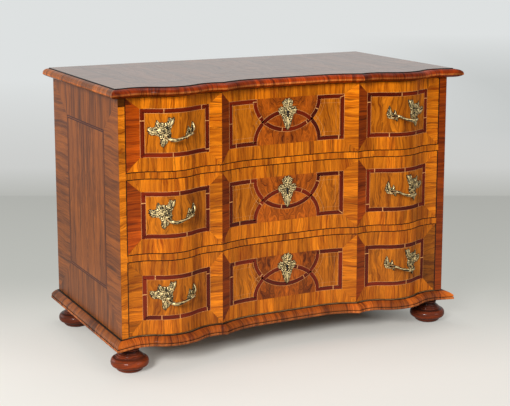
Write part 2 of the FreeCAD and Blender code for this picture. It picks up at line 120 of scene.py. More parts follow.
class Veneering(bpy.types.PropertyGroup):
    """The layout of the veneers and of the inlaid bands."""
    lift: length("Lift", 0.25, "How far a veneer lies over its ground")
    # stopping short bares the near-black walnut edges beneath: worn edges, and painted shade that widens the
    # dark gaps
    edge_trim: length("Edge trim", 0.8, "How far the veneers stop short of the worn edges")
    band_width: length("Band width", 14, "Width of the dark inlaid bands on the drawers")
    string_width: length("Stringing", 0.9, "Width of the light lines beside the bands")
    field_outer: length("Field end", 67.5, "From the case's side to the band of a side field")
    field_inner: length("Field start", 37.5, "From the arris to the band of a side field")
    centre_left: length("Centre left", 30, "From the left arris to the band of the middle field")
    centre_right: length("Centre right", 41, "From the right arris to the band of the middle field")
    arc_reach: length("Arc reach", 109, "From the middle to where an arc meets the rectangle")
    arc_share: plain_number("Arc depth", 0.72, "Depth of the arcs as a share")
    side_band: length("Side band", 9.5, "Width of the dark band on the sides")
    side_front: length("Side front margin", 121, "From the case's corner to the band on the side")
    side_back: length("Side back margin", 128, "From the case's back to the band on the side")
    side_low: length("Side lower margin", 119, "From the case's bottom to the band on the side")
    side_high: length("Side upper margin", 104, "From the case's top to the band on the side")
    top_margin: length("Top margin", 85, "Width of the crossbanding round the top")


WOODS = {    # each wood's name for the user, its light streaks and its dark streaks
    "cross": ("Crossbanding", (238, 134, 18), (142, 57, 1)),
    "field": ("Field", (222, 126, 20), (122, 53, 2)),
    "end": ("End strip", (198, 84, 8), (114, 35, 1)),
    "lens": ("Lens burl", (222, 112, 24), (112, 38, 4)),
    "moon": ("Half-moon burl", (208, 102, 18), (84, 30, 4)),
    "plum": ("Plum band", (124, 34, 5), (72, 13, 1)),
    "box": ("Boxwood", (238, 170, 104), (204, 128, 66)),
    "side": ("Side", (168, 90, 25), (84, 38, 9)),
    "side_band": ("Side band", (64, 18, 1), (72, 13, 1)),
    "top": ("Top", (126, 78, 44), (90, 54, 28)),
    "top_band": ("Top band", (90, 54, 28), (90, 54, 28)),
    "top_moulding": ("Top moulding", (180, 64, 9), (56, 9, 1)),
    "plinth_moulding": ("Plinth moulding", (212, 106, 20), (92, 28, 2)),
    # black for the top moulding's top edge, and painted shade in the plinth's groove and along its joint with
    # the case
    "edge": ("Black edge and painted shade", (20, 10, 6), (8, 4, 3)),
    # a painted highlight along the mouldings' lips
    "lip": ("Lip, painted highlight", (214, 118, 50), (96, 36, 8)),
    "foot": ("Foot", (158, 60, 4), (64, 18, 1)),
    # near-black: painted shade where the edges show in the gaps round the drawers
    "walnut": ("Walnut edge and gap shade", (46, 22, 10), (20, 8, 3)),
    "pine": ("Pine", (206, 168, 118), (158, 112, 66)),
}


class Woods(bpy.types.PropertyGroup):
    """The light and the dark of each wood."""
    __annotations__ = {
        f"{key}_{streak}": tint(f"{name}, {streak}", rgb, f"Colour of the {streak} streaks in this wood")
        for key, (name, *pair) in WOODS.items() for streak, rgb in zip(("light", "dark"), pair)}


class Stage(bpy.types.PropertyGroup):
    """The camera, the lamps and the room."""
    camera_x: length("Camera X", -1768.9, "The camera's place along the width")
    camera_y: length("Camera Y", -3496.5, "The camera's place along the depth")
    camera_z: length("Camera Z", 1276.7, "The camera's height")
    camera_yaw: angle("Camera turn", 26.89, "The camera's turn to the right of straight ahead")
    camera_pitch: angle("Camera tilt", 10.13, "The camera's tilt below the level")
    camera_lens: plain_number("Lens", 88.51, "Focal length in millimetres")
    camera_shift: plain_number("Lens shift", -0.108, "The lens's rise as a share of the picture's width")
    fold: length("Fold", 1880, "From the chest's middle to the fold of the paper")
    wall: tint("Wall", (222, 225, 225), "The paper high up")
    low_wall: tint("Low wall", (204, 205, 203), "The paper some way over its fold")
    floor: tint("Floor", (243, 240, 233), "The paper in front")
    middle: tint("Middle floor", (191, 192, 186), "The paper behind the chest")
    cloud: tint("Cloud", (196, 199, 198), "A soft shade on the paper, far back at the right")
    dusk: tint("Far floor", (181, 182, 177), "The paper at its fold")


GROUPS = {"chest_front": FrontLine, "chest_veneers": Veneering, "chest_woods": Woods, "chest_stage": Stage}


def chosen(group):
    """The property group of that name."""
    return getattr(bpy.context.scene, group)


# --- the front's line
def arris_x():
    """The right arris's place along X."""
    return HALF_CASE - chosen("chest_front").arris_inset


def front_y(x):
    """The front's place along Y for places along X: a flat, an arc, a cove, a bulge, a cove and a short line.
    The coves and the bulge are circles of one radius that meet halfway. A radius is the squared run plus the
    squared rise, over twice the rise. The short line leaves the last cove along its tangent."""
    line = chosen("chest_front")
    across = np.abs(np.asarray(x, float))

    def radius_of(run, rise):
        return (run ** 2 + rise ** 2) / (2 * rise)

    def bow(centre, radius):
        return np.sqrt(np.clip(radius ** 2 - (across - centre) ** 2, 0, None))

    step, arris = line.wave_step, arris_x()
    half = step / 2
    radius = radius_of(half, (line.cove_depth + line.bulge_out) / 2)
    bulge, bulge_y = HALF_CASE - line.bulge_inset, CORNER - line.bulge_out + radius
    cove_y = CORNER + line.cove_depth - radius
    arris_y = cove_y + math.sqrt(radius ** 2 - (arris - bulge + step) ** 2)
    deep, hollow = CORNER + line.hollow_depth, arris - line.hollow_run
    hollow_radius = radius_of(line.hollow_run, deep - arris_y)
    run = INNER - bulge - step
    rise = math.sqrt(radius ** 2 - run ** 2)
    return np.select(
        [across < hollow, across < arris, across < bulge - half, across < bulge + half, across < INNER],
        [np.full_like(across, deep), deep - hollow_radius + bow(hollow, hollow_radius),
         cove_y + bow(bulge - step, radius), bulge_y - bow(bulge, radius),
         cove_y + bow(bulge + step, radius)],
        cove_y + rise - (across - INNER) * run / rise)


# --- grids into meshes
class Patches:
    """Gathers grids of points and makes one mesh of them. Each grid has its own UVs, tone and material."""

    def __init__(self):
        self.points, self.uvs, self.tones, self.faces, self.slots = ([] for _ in range(5))
        self.count = 0

    def add(self, points, uv, tone, slot=0, flip=False):
        """points is rows by columns by 3, uv rows by columns by 2, tone a number or rows by columns."""
        rows, columns = points.shape[:2]
        index = np.arange(rows * columns).reshape(rows, columns) + self.count
        quads = np.stack([index[:-1, :-1], index[:-1, 1:], index[1:, 1:], index[1:, :-1]], -1).reshape(-1, 4)
        self.faces.append(quads[:, ::-1] if flip else quads)
        self.points.append(points.reshape(-1, 3))
        self.uvs.append(uv.reshape(-1, 2))
        self.tones.append(np.broadcast_to(tone, (rows, columns)).reshape(-1))
        self.slots.append(np.full(len(quads), slot))
        self.count += rows * columns

    def build(self, name, materials, body, slot, *nodes):
        """Makes the mesh, lets it ride on its body, and hides the CAD nodes that it stands for."""
        points, faces = np.concatenate(self.points), np.concatenate(self.faces)
        mesh = bpy.data.meshes.new(name)
        mesh.from_pydata(points.tolist(), [], faces.tolist())
        layer = mesh.uv_layers.new(name="Run")
        uvs = np.concatenate(self.uvs)[faces.reshape(-1)]
        layer.data.foreach_set("uv", uvs.reshape(-1).astype(np.float32))
        tone = mesh.attributes.new("tone", "FLOAT", "POINT")
        tone.data.foreach_set("value", np.concatenate(self.tones).astype(np.float32))
        for material in materials:
            mesh.materials.append(material)
        mesh.polygons.foreach_set("material_index", np.concatenate(self.slots).astype(np.int32))
        mesh.polygons.foreach_set("use_smooth", np.ones(len(faces), bool))
        mesh.update()
        piece = bpy.data.objects.new(name, mesh)
        bpy.context.scene.collection.objects.link(piece)
        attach(piece, body)
        if nodes:
            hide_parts(*nodes)


# --- lines and arrays
def joined(*parts):
    """Coordinates spread to one shape, as one array of points."""
    return np.stack(np.broadcast_arrays(*parts), -1)


def circle(radius, turn):
    """Points round a circle: the radius times the cosine and the sine of the turn."""
    return joined(radius * np.cos(turn), radius * np.sin(turn))


def raised(flat, height):
    """Points of a plane, with their height over it."""
    return joined(flat[..., 0], flat[..., 1], height)


def unit(vectors):
    """Vectors divided by their lengths."""
    return vectors / np.maximum(np.linalg.norm(vectors, axis=-1), 1e-9)[..., None]


def run_along(line):
    """How far each point of a line lies from its start, along it."""
    return np.concatenate([[0], np.cumsum(np.linalg.norm(np.diff(line, axis=0), axis=1))])


def at(places, run, line):
    """The points of a line at places along its run, coordinate by coordinate."""
    return [np.interp(places, run, values) for values in line.T]


def spaced(random, start, end, sizes):
    """Places from start on, each a random size from the last, until one lies at or past end."""
    places = [start]
    while places[-1] < end:
        places.append(places[-1] + random.uniform(*sizes))
    return places


def divided(path, closed, step):
    """The line with points added so that none lie further apart than step."""
    ends = np.roll(path, -1, axis=0) if closed else path[1:]
    starts = path if closed else path[:-1]
    pieces = []
    for start, end in zip(starts, ends):
        count = max(1, math.ceil(np.linalg.norm(end - start) / step))
        pieces.append(start + (end - start) * np.linspace(0, 1, count, endpoint=False)[:, None])
    return np.vstack(pieces if closed else pieces + [path[-1:]])


def offset_line(path, distance, closed):
    """The line moved sideways, each corner along its mitre: the sum of its two normals over one plus their
    dot."""
    ahead = unit(np.roll(path, -1, axis=0) - path)
    if not closed:
        ahead[-1] = ahead[-2]
    behind = np.roll(ahead, 1, axis=0)
    if not closed:
        behind[0] = ahead[0]
    turned = [joined(-way[:, 1], way[:, 0]) for way in (ahead, behind)]
    dot = np.maximum((turned[0] * turned[1]).sum(1), -0.6)[:, None]
    return path + distance * (turned[0] + turned[1]) / (1 + dot)


def corners_of(a0, a1, b0, b1, inset=0.0):
    """A rectangle's corners, moved inwards: lower left, lower right, upper right, upper left."""
    a0, a1, b0, b1 = a0 + inset, a1 - inset, b0 + inset, b1 - inset
    return [(a0, b0), (a1, b0), (a1, b1), (a0, b1)]


# --- surfaces that carry veneers
COLUMN = 4 * MM           # how far apart a sheet's columns stand
JOINT = 0.2 * MM          # half of the dark joint between two pieces of a border
LAYER = 0.35              # how much higher each layer lies, as a share of the lift
ANYWHERE = (-3, 3)        # where in its wood a piece may be cut from, in metres
BREAKS = (40 * MM, 150 * MM)    # how far apart the light pieces in a dark band lie
BAND_TONES = (0.65, 1.3)        # the tones of the lengths between them


def on_front(along, up, lift):
    """Points of the front."""
    return joined(along, front_y(along) - lift, up)


def on_side(sign):
    """The function for points of a side's outside, along Y."""
    return lambda along, up, lift: joined(sign * (HALF_CASE + lift), along, up)


def on_top(along, up, lift):
    """Points of the top."""
    return joined(along, up, TOP_HIGH.z + lift)


class Veneer:
    """Lays veneers on one face. place turns along, up and lift into points; flip says that the face's grids
    face inwards."""

    def __init__(self, place, seed, flip=False):
        self.place, self.flip = place, flip
        self.patches = Patches()
        self.random = np.random.default_rng(seed)
        self.lift = chosen("chest_veneers").lift

    def lay(self, sheet, figure, slot, layer=0, shade=1.0, spread=0.0):
        """A grid of (along, up) points, its figure cut from a random place in the wood, its tone the shade
        changed by up to the spread."""
        uv = joined(*figure) + self.random.uniform(*ANYWHERE, 2)
        if spread:
            shade = shade * (1 + self.random.uniform(-spread, spread))
        points = self.place(sheet[..., 0], sheet[..., 1], self.lift * (1 + LAYER * layer))
        self.patches.add(points, uv, shade, slot, self.flip)

    def between(self, lower, upper, slot, grain="up", spread=0.12, rows=6, centre=None, **more):
        """A sheet ruled between two lines with as many points. With a centre, its figure is mirrored about
        it, as in two matched leaves."""
        share = np.linspace(0, 1, rows)[:, None, None]
        sheet = lower[None] * (1 - share) + upper[None] * share
        across, up = sheet[..., 0], sheet[..., 1]
        if centre is not None:
            across = np.abs(across - centre)
        self.lay(sheet, (up, -across) if grain == "along" else (across, up), slot, spread=spread, **more)

    def quad(self, corners, slot, **more):
        """A sheet with four straight edges, from its lower left corner on, against the clock."""
        low_left, low_right, high_right, high_left = np.array(corners, float)
        reach = max(abs(low_right[0] - low_left[0]), abs(high_right[0] - high_left[0]))
        share = np.linspace(0, 1, max(2, int(reach / COLUMN) + 2))[:, None]
        self.between(low_left + (low_right - low_left) * share, high_left + (high_right - high_left) * share,
                     slot, **more)

    def cuts(self, low, high, smallest, largest):
        """The pieces of a border between two places, each as its two ends. The last isn't much shorter."""
        places = spaced(self.random, low, high - 1.3 * smallest, (smallest, largest))
        places[-1] = high
        return list(zip(places, places[1:]))

    def border(self, outer, inner, widths, heights, slots, spread, shades=(1, 1)):
        """A mitred border of short pieces with dark joints, its grain across each length. outer and inner are
        (along low, along high, up low, up high). widths is the range of the pieces' widths below and above,
        heights at the ends. slots are those of the lengths below and above, the low end and the high end, and
        shades those of the ends."""
        ranges = ((outer[:2], inner[:2], widths), (outer[2:], inner[2:], heights))
        for number, slot, shade in ((2, slots[0], 1), (3, slots[0], 1), (0, slots[1], shades[0]),
                                    (1, slots[2], shades[1])):
            upright = number < 2
            edge, inside = outer[number], inner[number]
            ends, limits, sizes = ranges[upright]
            for low, high in self.cuts(*ends, *sizes):
                low, high = low + JOINT, high - JOINT
                near = [(low, edge), (high, edge)]
                far = [(np.clip(place, *limits), inside) for place in (low, high)]
                if edge > inside:
                    near, far = far, near
                corners = [near[0], near[1], far[1], far[0]]
                if upright:
                    corners = [corner[::-1] for corner in (near[0], far[0], far[1], near[1])]
                self.quad(corners, slot, grain=("up", "along")[upright], spread=spread, rows=3, shade=shade)

    def band(self, path, width, slot, closed=True, layer=1, tone=None, step=COLUMN):
        """A band of one width along a line of (along, up) points, mitred at its corners. tone, if given,
        turns places along the line into tones."""
        path = divided(np.array(path, float), closed, step)
        sheet = np.stack([offset_line(path, side * width, closed) for side in (-0.5, 0.5)])
        if closed:
            sheet, path = np.hstack([sheet, sheet[:, :1]]), np.vstack([path, path[:1]])
        run = run_along(path)
        sides = np.array([[-0.5], [0.5]]) * width
        self.lay(sheet, (sides, run), slot, layer, tone(run) if tone else 1.0)

    def inlay(self, path, closed=True, layer=1):
        """A dark band in lengths of several tones, with a light string on each side, and light pieces let in
        across it between the lengths."""
        layout = chosen("chest_veneers")
        width, string = layout.band_width, layout.string_width
        line = divided(np.array(path, float), closed, COLUMN / 2)
        run = run_along(line)
        places = spaced(self.random, self.random.uniform(*BREAKS), run[-1] - width, BREAKS)
        tones = self.random.uniform(*BAND_TONES, len(places))
        self.band(path, width, PLUM, closed, layer,
                  lambda spots: tones[np.minimum(np.searchsorted(places, spots), len(places) - 1)])
        for side in (-1, 1):
            self.band(offset_line(line, side * (width - string) / 2, closed), string, BOX, closed, layer + 1)
        for place in places[:-1]:
            ends = at([place - 1.4 * string, place + 1.4 * string], run, line)
            self.band(np.transpose(ends), width, BOX, False, layer + 1, step=1)


# --- node groups and materials
class Graph:
    """A short way to add shader nodes to a tree, and to link or set their inputs."""

    def __init__(self, tree):
        self.tree = tree

    def fill(self, inputs, sources):
        """Links each input to its source or, where that is a value, sets it. A colour gets an alpha of 1."""
        for key, source in dict(sources).items():
            if isinstance(source, bpy.types.NodeSocket):
                self.tree.links.new(source, inputs[key])
            else:
                inputs[key].default_value = (*source[:3], 1) if inputs[key].type == "RGBA" else source

    def add(self, kind, sources=(), output=0, **settings):
        """A new node, with its settings and what goes into it. Gives one of its outputs."""
        node = self.tree.nodes.new(f"ShaderNode{kind}")
        for name, setting in settings.items():
            setattr(node, name, setting)
        self.fill(node.inputs, sources)
        return node.outputs[output]

    def maths(self, operation, first, second=0.0, clamp=False):
        """Two numbers worked into one."""
        return self.add("Math", {0: first, 1: second}, operation=operation, use_clamp=clamp)

    def vector(self, operation, first, second):
        """Two vectors added, subtracted or multiplied, or a vector scaled by a number."""
        return self.add("VectorMath", {0: first, "Scale" if operation == "SCALE" else 1: second},
                        operation=operation)

    def noise(self, vector, scale=1.0, detail=4.0, roughness=0.55, output=0):
        """Cloudy noise."""
        sources = {"Vector": vector, "Scale": scale, "Detail": detail, "Roughness": roughness}
        return self.add("TexNoise", sources, output)

    def mix(self, share, first, second, blend="MIX"):
        """The first colour, with a share of the second mixed into it."""
        return self.add("Mix", {0: share, 6: first, 7: second}, 2, data_type="RGBA", blend_type=blend)

    def ramp(self, value, low, high):
        """0 below low, 1 above high, and even between them."""
        return self.add("MapRange", {"Value": value, "From Min": low, "From Max": high})

    def bump(self, height, strength, distance):
        """The normal of a surface with that height."""
        return self.add("Bump", {"Height": height, "Strength": strength, "Distance": distance})

    def own_place(self):
        """The point in the piece's own coordinates."""
        return self.add("TexCoord", output=3)

    def group(self, name, sources):
        """Places a node group, and gives its outputs."""
        return self.add("Group", sources, node_tree=bpy.data.node_groups[name]).node.outputs


def new_group(name, inputs, outputs):
    """A node group: its graph, and the ends that its nodes link to. inputs has each input's default, whose
    kind is the socket's, or none for a vector. outputs has each output's kind."""
    tree = bpy.data.node_groups.new(name, "ShaderNodeTree")
    for label, default in inputs.items():
        kind = "Vector" if default is None else "Color" if isinstance(default, tuple) else "Float"
        socket = tree.interface.new_socket(label, in_out="INPUT", socket_type=f"NodeSocket{kind}")
        if default is not None:
            socket.default_value = default
    for label, kind in outputs.items():
        tree.interface.new_socket(label, in_out="OUTPUT", socket_type=f"NodeSocket{kind}")
    return Graph(tree), tree.nodes.new("NodeGroupInput").outputs, tree.nodes.new("NodeGroupOutput").inputs


def wood_group():
    """Wood: fine streaks and broad bands that run along V, bent by a cloudy figure, with dark pores and
    veins. Each is noise at a place that is scaled up more across the grain than along it."""
    g, given, result = new_group(
        "Wood figure", {"Vector": None, "Light": (0.6, 0.3, 0.1, 1), "Dark": (0.2, 0.1, 0.04, 1),
                        "Figure": 0.3, "Streaks": 1.0, "Tone": 1.0, "Veins": 0.5},
        {"Color": "Color", "Roughness": "Float", "Height": "Float"})

    def grain(place, sizes, **more):
        return g.noise(g.vector("MULTIPLY", place, sizes), **more)

    cloud = grain(given["Vector"], (14, 7, 7), detail=3, roughness=0.5, output=1)
    bend = g.vector("SUBTRACT", cloud, (0.5, 0.5, 0.5))
    bend = g.vector("SCALE", bend, g.maths("MULTIPLY", given["Figure"], 0.09))
    bent = g.vector("SCALE", g.vector("ADD", given["Vector"], bend), given["Streaks"])
    broad = grain(bent, (55, 3.2, 20), detail=3)
    fine = grain(bent, (240, 7, 80), detail=5, roughness=0.7)
    patch = grain(given["Vector"], (9, 5, 5), detail=2)
    pore = grain(bent, (1500, 60, 400), detail=2)
    vein = grain(bent, (150, 5, 50), detail=3, roughness=0.6)
    dark = g.maths("ADD", g.maths("MULTIPLY", g.ramp(broad, 0.4, 0.62), 0.5),
                   g.maths("MULTIPLY", g.ramp(fine, 0.4, 0.62), 0.5))
    dark = g.maths("ADD", dark, g.maths("MULTIPLY", g.maths("SUBTRACT", patch, 0.5), 0.5), clamp=True)
    pores = g.maths("MULTIPLY", g.ramp(pore, 0.62, 0.74), 0.5)
    body = g.mix(pores, g.mix(dark, given["Light"], given["Dark"]), given["Dark"], "MULTIPLY")
    body = g.mix(g.maths("MULTIPLY", g.ramp(vein, 0.58, 0.64), given["Veins"]), body, (0.05, 0.015, 0.003))
    g.fill(result, {"Color": g.vector("SCALE", body, given["Tone"]),
                    "Roughness": g.maths("ADD", 0.22, g.maths("MULTIPLY", fine, 0.16)),
                    "Height": g.maths("SUBTRACT", fine, pores)})


def wear_group():
    """Handling: soft dull patches and a little dirt, from cloudy noise in the piece's own place."""
    g, given, result = new_group("Handling", {"Color": (0.5, 0.5, 0.5, 1), "Roughness": 0.3, "Amount": 0.3},
                                 {"Color": "Color", "Roughness": "Float"})
    where = g.own_place()
    cloud = g.ramp(g.noise(where, scale=7, detail=5), 0.4, 0.75)
    smear = g.ramp(g.noise(where, scale=38, detail=3), 0.45, 0.8)
    share = g.maths("MULTIPLY", g.maths("MULTIPLY", cloud, smear), given["Amount"])
    g.fill(result, {"Color": g.mix(share, given["Color"], (0.05, 0.03, 0.02)),
                    "Roughness": g.maths("ADD", given["Roughness"], g.maths("MULTIPLY", share, 0.5))})


def low_haze_group():
    """A pale haze over the colour: the lower a place, the more of it."""
    g, given, result = new_group("Fading", {"Color": (0.5, 0.5, 0.5, 1), "Amount": 0.023}, {"Color": "Color"})
    height = g.add("SeparateXYZ", {"Vector": g.own_place()}, output=2)
    share = g.maths("MULTIPLY", g.ramp(height, 0.78, 0.2), given["Amount"])
    g.fill(result, {"Color": g.mix(share, given["Color"], (0.5, 0.46, 0.44))})


def patina_group():
    """Old brass: pale on its heights and dark green-brown in its hollows, which the tone attribute gives."""
    g, given, result = new_group(
        "Patina", {"Bright": (0.6, 0.55, 0.35, 1), "Dark": (0.1, 0.08, 0.03, 1), "Height": 0.5},
        {"Color": "Color", "Roughness": "Float", "Bump": "Float"})
    where = g.own_place()
    speck = g.noise(where, scale=420, detail=4)
    blotch = g.noise(where, scale=110, detail=3, roughness=0.7)
    height = g.maths("ADD", given["Height"], g.maths("MULTIPLY", g.maths("SUBTRACT", speck, 0.5), 0.6))
    height = g.maths("ADD", height, g.maths("MULTIPLY", g.maths("SUBTRACT", blotch, 0.5), 1.7), clamp=True)
    g.fill(result, {"Color": g.mix(g.ramp(height, 0.25, 0.8), given["Dark"], given["Bright"]),
                    "Roughness": g.maths("SUBTRACT", 0.6, g.maths("MULTIPLY", height, 0.24)), "Bump": speck})


def new_material(name):
    """A material with a Principled BSDF, its graph, and that shader."""
    material = bpy.data.materials.new(name)
    material.use_nodes = True
    return material, Graph(material.node_tree), material.node_tree.nodes["Principled BSDF"]


GRAIN_TURNS = {"x": (0, 0, QUARTER), "y": (0, 0, 0), "z": (QUARTER, 0, 0)}


def wood(name, kind, figure=0.3, streaks=1.0, gloss=0.04, wear=0.25, along=None, haze=0.14):
    """A polished wood in one kind's colours. Its grain runs along V of the Run map or, if along is given,
    along that object axis."""
    if name in bpy.data.materials:
        return bpy.data.materials[name]
    material, g, shader = new_material(name)
    if along is None:
        vector = g.add("UVMap", uv_map="Run")
        tone = g.add("Attribute", output=2, attribute_name="tone")
    else:
        vector = g.add("Mapping", {"Vector": g.own_place(), "Rotation": GRAIN_TURNS[along]})
        tone = 1.0
    light, dark = (getattr(chosen("chest_woods"), f"{kind}_{streak}") for streak in ("light", "dark"))
    figured = g.group("Wood figure", {"Vector": vector, "Light": light, "Dark": dark, "Figure": figure,
                                      "Streaks": streaks, "Tone": tone})
    worn = g.group("Handling", {"Color": figured["Color"], "Roughness": figured["Roughness"], "Amount": wear})
    g.fill(shader.inputs, {"Base Color": g.group("Fading", {"Color": worn["Color"]})["Color"],
                           "Roughness": worn["Roughness"], "Specular IOR Level": 0.03, "Coat Weight": gloss,
                           "Coat Roughness": haze, "Normal": g.bump(figured["Height"], 0.12, 0.4 * MM)})
    return material


def cast_brass():
    """Old gilt brass, its hollows dark."""
    if "cast_brass" in bpy.data.materials:
        return bpy.data.materials["cast_brass"]
    material, g, shader = new_material("cast_brass")
    patina = g.group("Patina", {"Bright": colour(236, 208, 146), "Dark": colour(30, 21, 7),
                                "Height": g.add("Attribute", output=2, attribute_name="tone")})
    g.fill(shader.inputs, {"Base Color": patina["Color"], "Roughness": patina["Roughness"], "Metallic": 0.6,
                           "Normal": g.bump(patina["Bump"], 0.35, 0.5 * MM)})
    return material


def clouded(name, scale, detail, first, second, **more):
    """A plain material whose colour is a cloudy mix of two. Gives it, its graph, its shader and the cloud."""
    material, g, shader = new_material(name)
    cloud = g.noise(g.own_place(), scale=scale, detail=detail)
    g.fill(shader.inputs, {"Base Color": g.mix(cloud, first, second), **more})
    return material, g, shader, cloud


def wrought_iron():
    """Dark iron for the locks and the screws."""
    material, g, shader, cloud = clouded("wrought_iron", 90, 5, colour(70, 66, 62), colour(38, 30, 26),
                                         Metallic=0.8, Roughness=0.5)
    g.fill(shader.inputs, {"Normal": g.bump(cloud, 0.3, 0.6 * MM)})
    return material


def keyhole_dark():
    """A near-black sheet for the inside of a keyhole: painted shade."""
    return clouded("keyhole_dark", 200, 4, (0.004, 0.003, 0.002), (0.012, 0.008, 0.005), Roughness=0.9)[0]


def front_woods():
    """The woods of the front, in the order of the veneers' slots."""
    return [wood("crossbanding", "cross", figure=0.4), wood("field_walnut", "field", figure=0.9, streaks=0.9),
            wood("end_strip", "end"), wood("lens_burl", "lens", figure=2.2, streaks=0.6),
            wood("half_moon_burl", "moon", figure=2.6, streaks=0.7), wood("plum_band", "plum", figure=0.1),
            wood("boxwood_string", "box", figure=0.0, wear=0.1)]


CROSS, FIELD, END, LENS, MOON, PLUM, BOX = range(7)    # their slots


# --- the drawers' veneers
BORDERS = {"bottom": (43 * MM, 42 * MM), "middle": (42 * MM, 36 * MM), "top": (39.3 * MM, 32 * MM)}
# tones of the strip beside the right arris, by level: painted shade on a cove that turns from the lamps
INNER_PAINTED_SHADES = {"top": 0.6, "middle": 0.8, "bottom": 0.72}


def side_field(veneer, sign, low, high, level):
    """One bulge of a drawer: a mitred border, a dark band and a field of two matched leaves."""
    layout = chosen("chest_veneers")
    at_right = sign > 0
    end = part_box(f"{level}_drawer_front")[1].x - 3 * layout.edge_trim    # the most worn edge, whose bared near-black walnut paints a wider dark gap beside the stile
    span = sorted((sign * arris_x(), sign * end))
    b0, b1 = low + BORDERS[level][0], high - BORDERS[level][1]
    strip = layout.field_inner * (0.88 if at_right else 1)    # the right one is narrower
    a0, a1 = sorted((sign * (arris_x() + strip), sign * (HALF_CASE - layout.field_outer)))
    ends = (END, CROSS) if level != "bottom" else (END, FIELD) if at_right else (CROSS, CROSS)
    # the strip beside the right arris takes its painted shade by level
    shades = (INNER_PAINTED_SHADES[level] if at_right else 0.95, 0.55 if ends[1] == FIELD else 1)
    veneer.border((*span, low, high), (a0, a1, b0, b1), (24 * MM, 46 * MM), (40 * MM, 75 * MM),
                  (CROSS, *ends), spread=0.26, shades=shades)
    for left, right in veneer.cuts(a0, a1, 40 * MM, 62 * MM):
        veneer.quad(corners_of(left, right, b0, b1), FIELD, spread=0.08)
    veneer.inlay(corners_of(a0, a1, b0, b1, layout.band_width / 2))


def centre_field(veneer, low, high, level):
    """The hollow of a drawer: two fields, and two arcs that cross and leave a lens round the key plate. An
    arc is half an ellipse: along, its chord times the sine of the turn, and up or down from the band, its
    depth times the cosine."""
    layout = chosen("chest_veneers")
    reach, reach_left = arris_x() - layout.centre_right, arris_x() - layout.centre_left
    b0, b1 = low + BORDERS[level][0], high - BORDERS[level][1]
    # the hollow's left end is darkened to 0.62, painted shade on a flank turned from the lamps, and its right
    # end lightened to 1.1, painted light
    veneer.border((-arris_x(), arris_x(), low, high), (-reach_left, reach, b0, b1), (24 * MM, 52 * MM),
                  (45 * MM, 80 * MM), (CROSS, END, CROSS), spread=0.22, shades=(0.62, 1.1))
    half = layout.band_width / 2
    floor, ceiling = b0 + half, b1 - half
    depth, chord = layout.arc_share * (ceiling - floor), layout.arc_reach
    crossing = math.acos((ceiling - floor) / 2 / depth)

    def hanging(turn):
        return joined(chord * np.sin(turn), ceiling - depth * np.cos(turn))

    def standing(turn):
        return joined(chord * np.sin(turn), floor + depth * np.cos(turn))

    def depths(along):
        return depth * np.sqrt(np.clip(1 - (along / chord) ** 2, 0, None))

    def burl(along, lower, upper, slot, rows, shade):
        veneer.between(joined(along, lower), joined(along, upper), slot, rows=rows, centre=0.0, shade=shade,
                       spread=0)

    cross_x = chord * math.sin(crossing)
    lens = np.linspace(-cross_x, cross_x, 60)
    burl(lens, ceiling - depths(lens), floor + depths(lens), LENS, 12, 1.0)
    wide = np.linspace(-chord, chord, 80)
    inside = np.abs(wide) < cross_x
    arcs = floor + depths(wide), ceiling - depths(wide)
    burl(wide, np.where(inside, *arcs), b1, MOON, 10, 0.95)
    burl(wide, b0, np.where(inside, *arcs[::-1]), MOON, 10, 1.05)
    share = np.linspace(0, 1, 40)
    falling = QUARTER + (crossing - QUARTER) * share
    rising = crossing + (QUARTER - crossing) * share[1:]
    curve = np.concatenate([hanging(falling), standing(rising)])[::-1]
    for sign in (-1, 1):
        edge = sign * ((reach if sign > 0 else reach_left) - half)
        bound = curve * (sign, 1)
        wall = joined(edge, bound[:, 1])
        near, far = (bound, wall) if sign > 0 else (wall, bound)
        share = np.linspace(0, 1, 30)[:, None]
        sheet = near[:, None] * (1 - share) + far[:, None] * share
        veneer.lay(sheet, (sheet[..., 0], sheet[..., 1]), FIELD, shade=1.05)
        path = np.concatenate([bound, [(edge, ceiling), (edge, floor)]])
        veneer.inlay(path)
        hairline = offset_line(divided(path, True, COLUMN), -sign * layout.band_width * 1.35, True)
        veneer.band(hairline, layout.string_width * 0.6, BOX, layer=2)
    turns = np.linspace(-crossing, crossing, 60)
    veneer.inlay(hanging(turns), closed=False, layer=3)
    veneer.inlay(standing(turns), closed=False, layer=5)


class CHEST_OT_drawer_veneers(bpy.types.Operator):
    """Lays the veneers, the bands and the stringing of the drawers' fronts"""
    bl_idname = "chest.drawer_veneers"
    bl_label = "Drawer veneers"

    def execute(self, context):
        for number, level in enumerate(LEVELS):
            low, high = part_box(f"{level}_drawer_front")
            trim = chosen("chest_veneers").edge_trim
            floor, roof = low.z + trim, high.z - trim
            veneer = Veneer(on_front, 11 + number)
            for sign in SIDES.values():
                side_field(veneer, sign, floor, roof, level)
            if level == "top":
                edge, wide, tall = low.x + trim, 21 * MM, 19 * MM    # a dark patch in the corner: dark veneer with the top moulding's shadow painted into it
                veneer.quad([(edge, roof - tall), (edge + wide, roof - tall), (edge, roof), (edge, roof)],
                            END, grain="along", layer=1, shade=0.3, spread=0)
            centre_field(veneer, floor, roof, level)
            veneer.patches.build(f"{level}_drawer_veneers", front_woods(), f"{level}_drawer", "walnut_front")
        return {"FINISHED"}


def rail_veneers(veneer, rail):
    """Short upright pieces along a rail, cut at the arrises."""
    trim = chosen("chest_veneers").edge_trim / 2
    low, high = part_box(rail)
    for start, end in ((-INNER, -arris_x()), (-arris_x(), arris_x()), (arris_x(), INNER)):
        for left, right in veneer.cuts(start, end, 26 * MM, 60 * MM):
            veneer.quad(corners_of(left, right, low.z + trim, high.z - trim), CROSS, spread=0.15, rows=2)


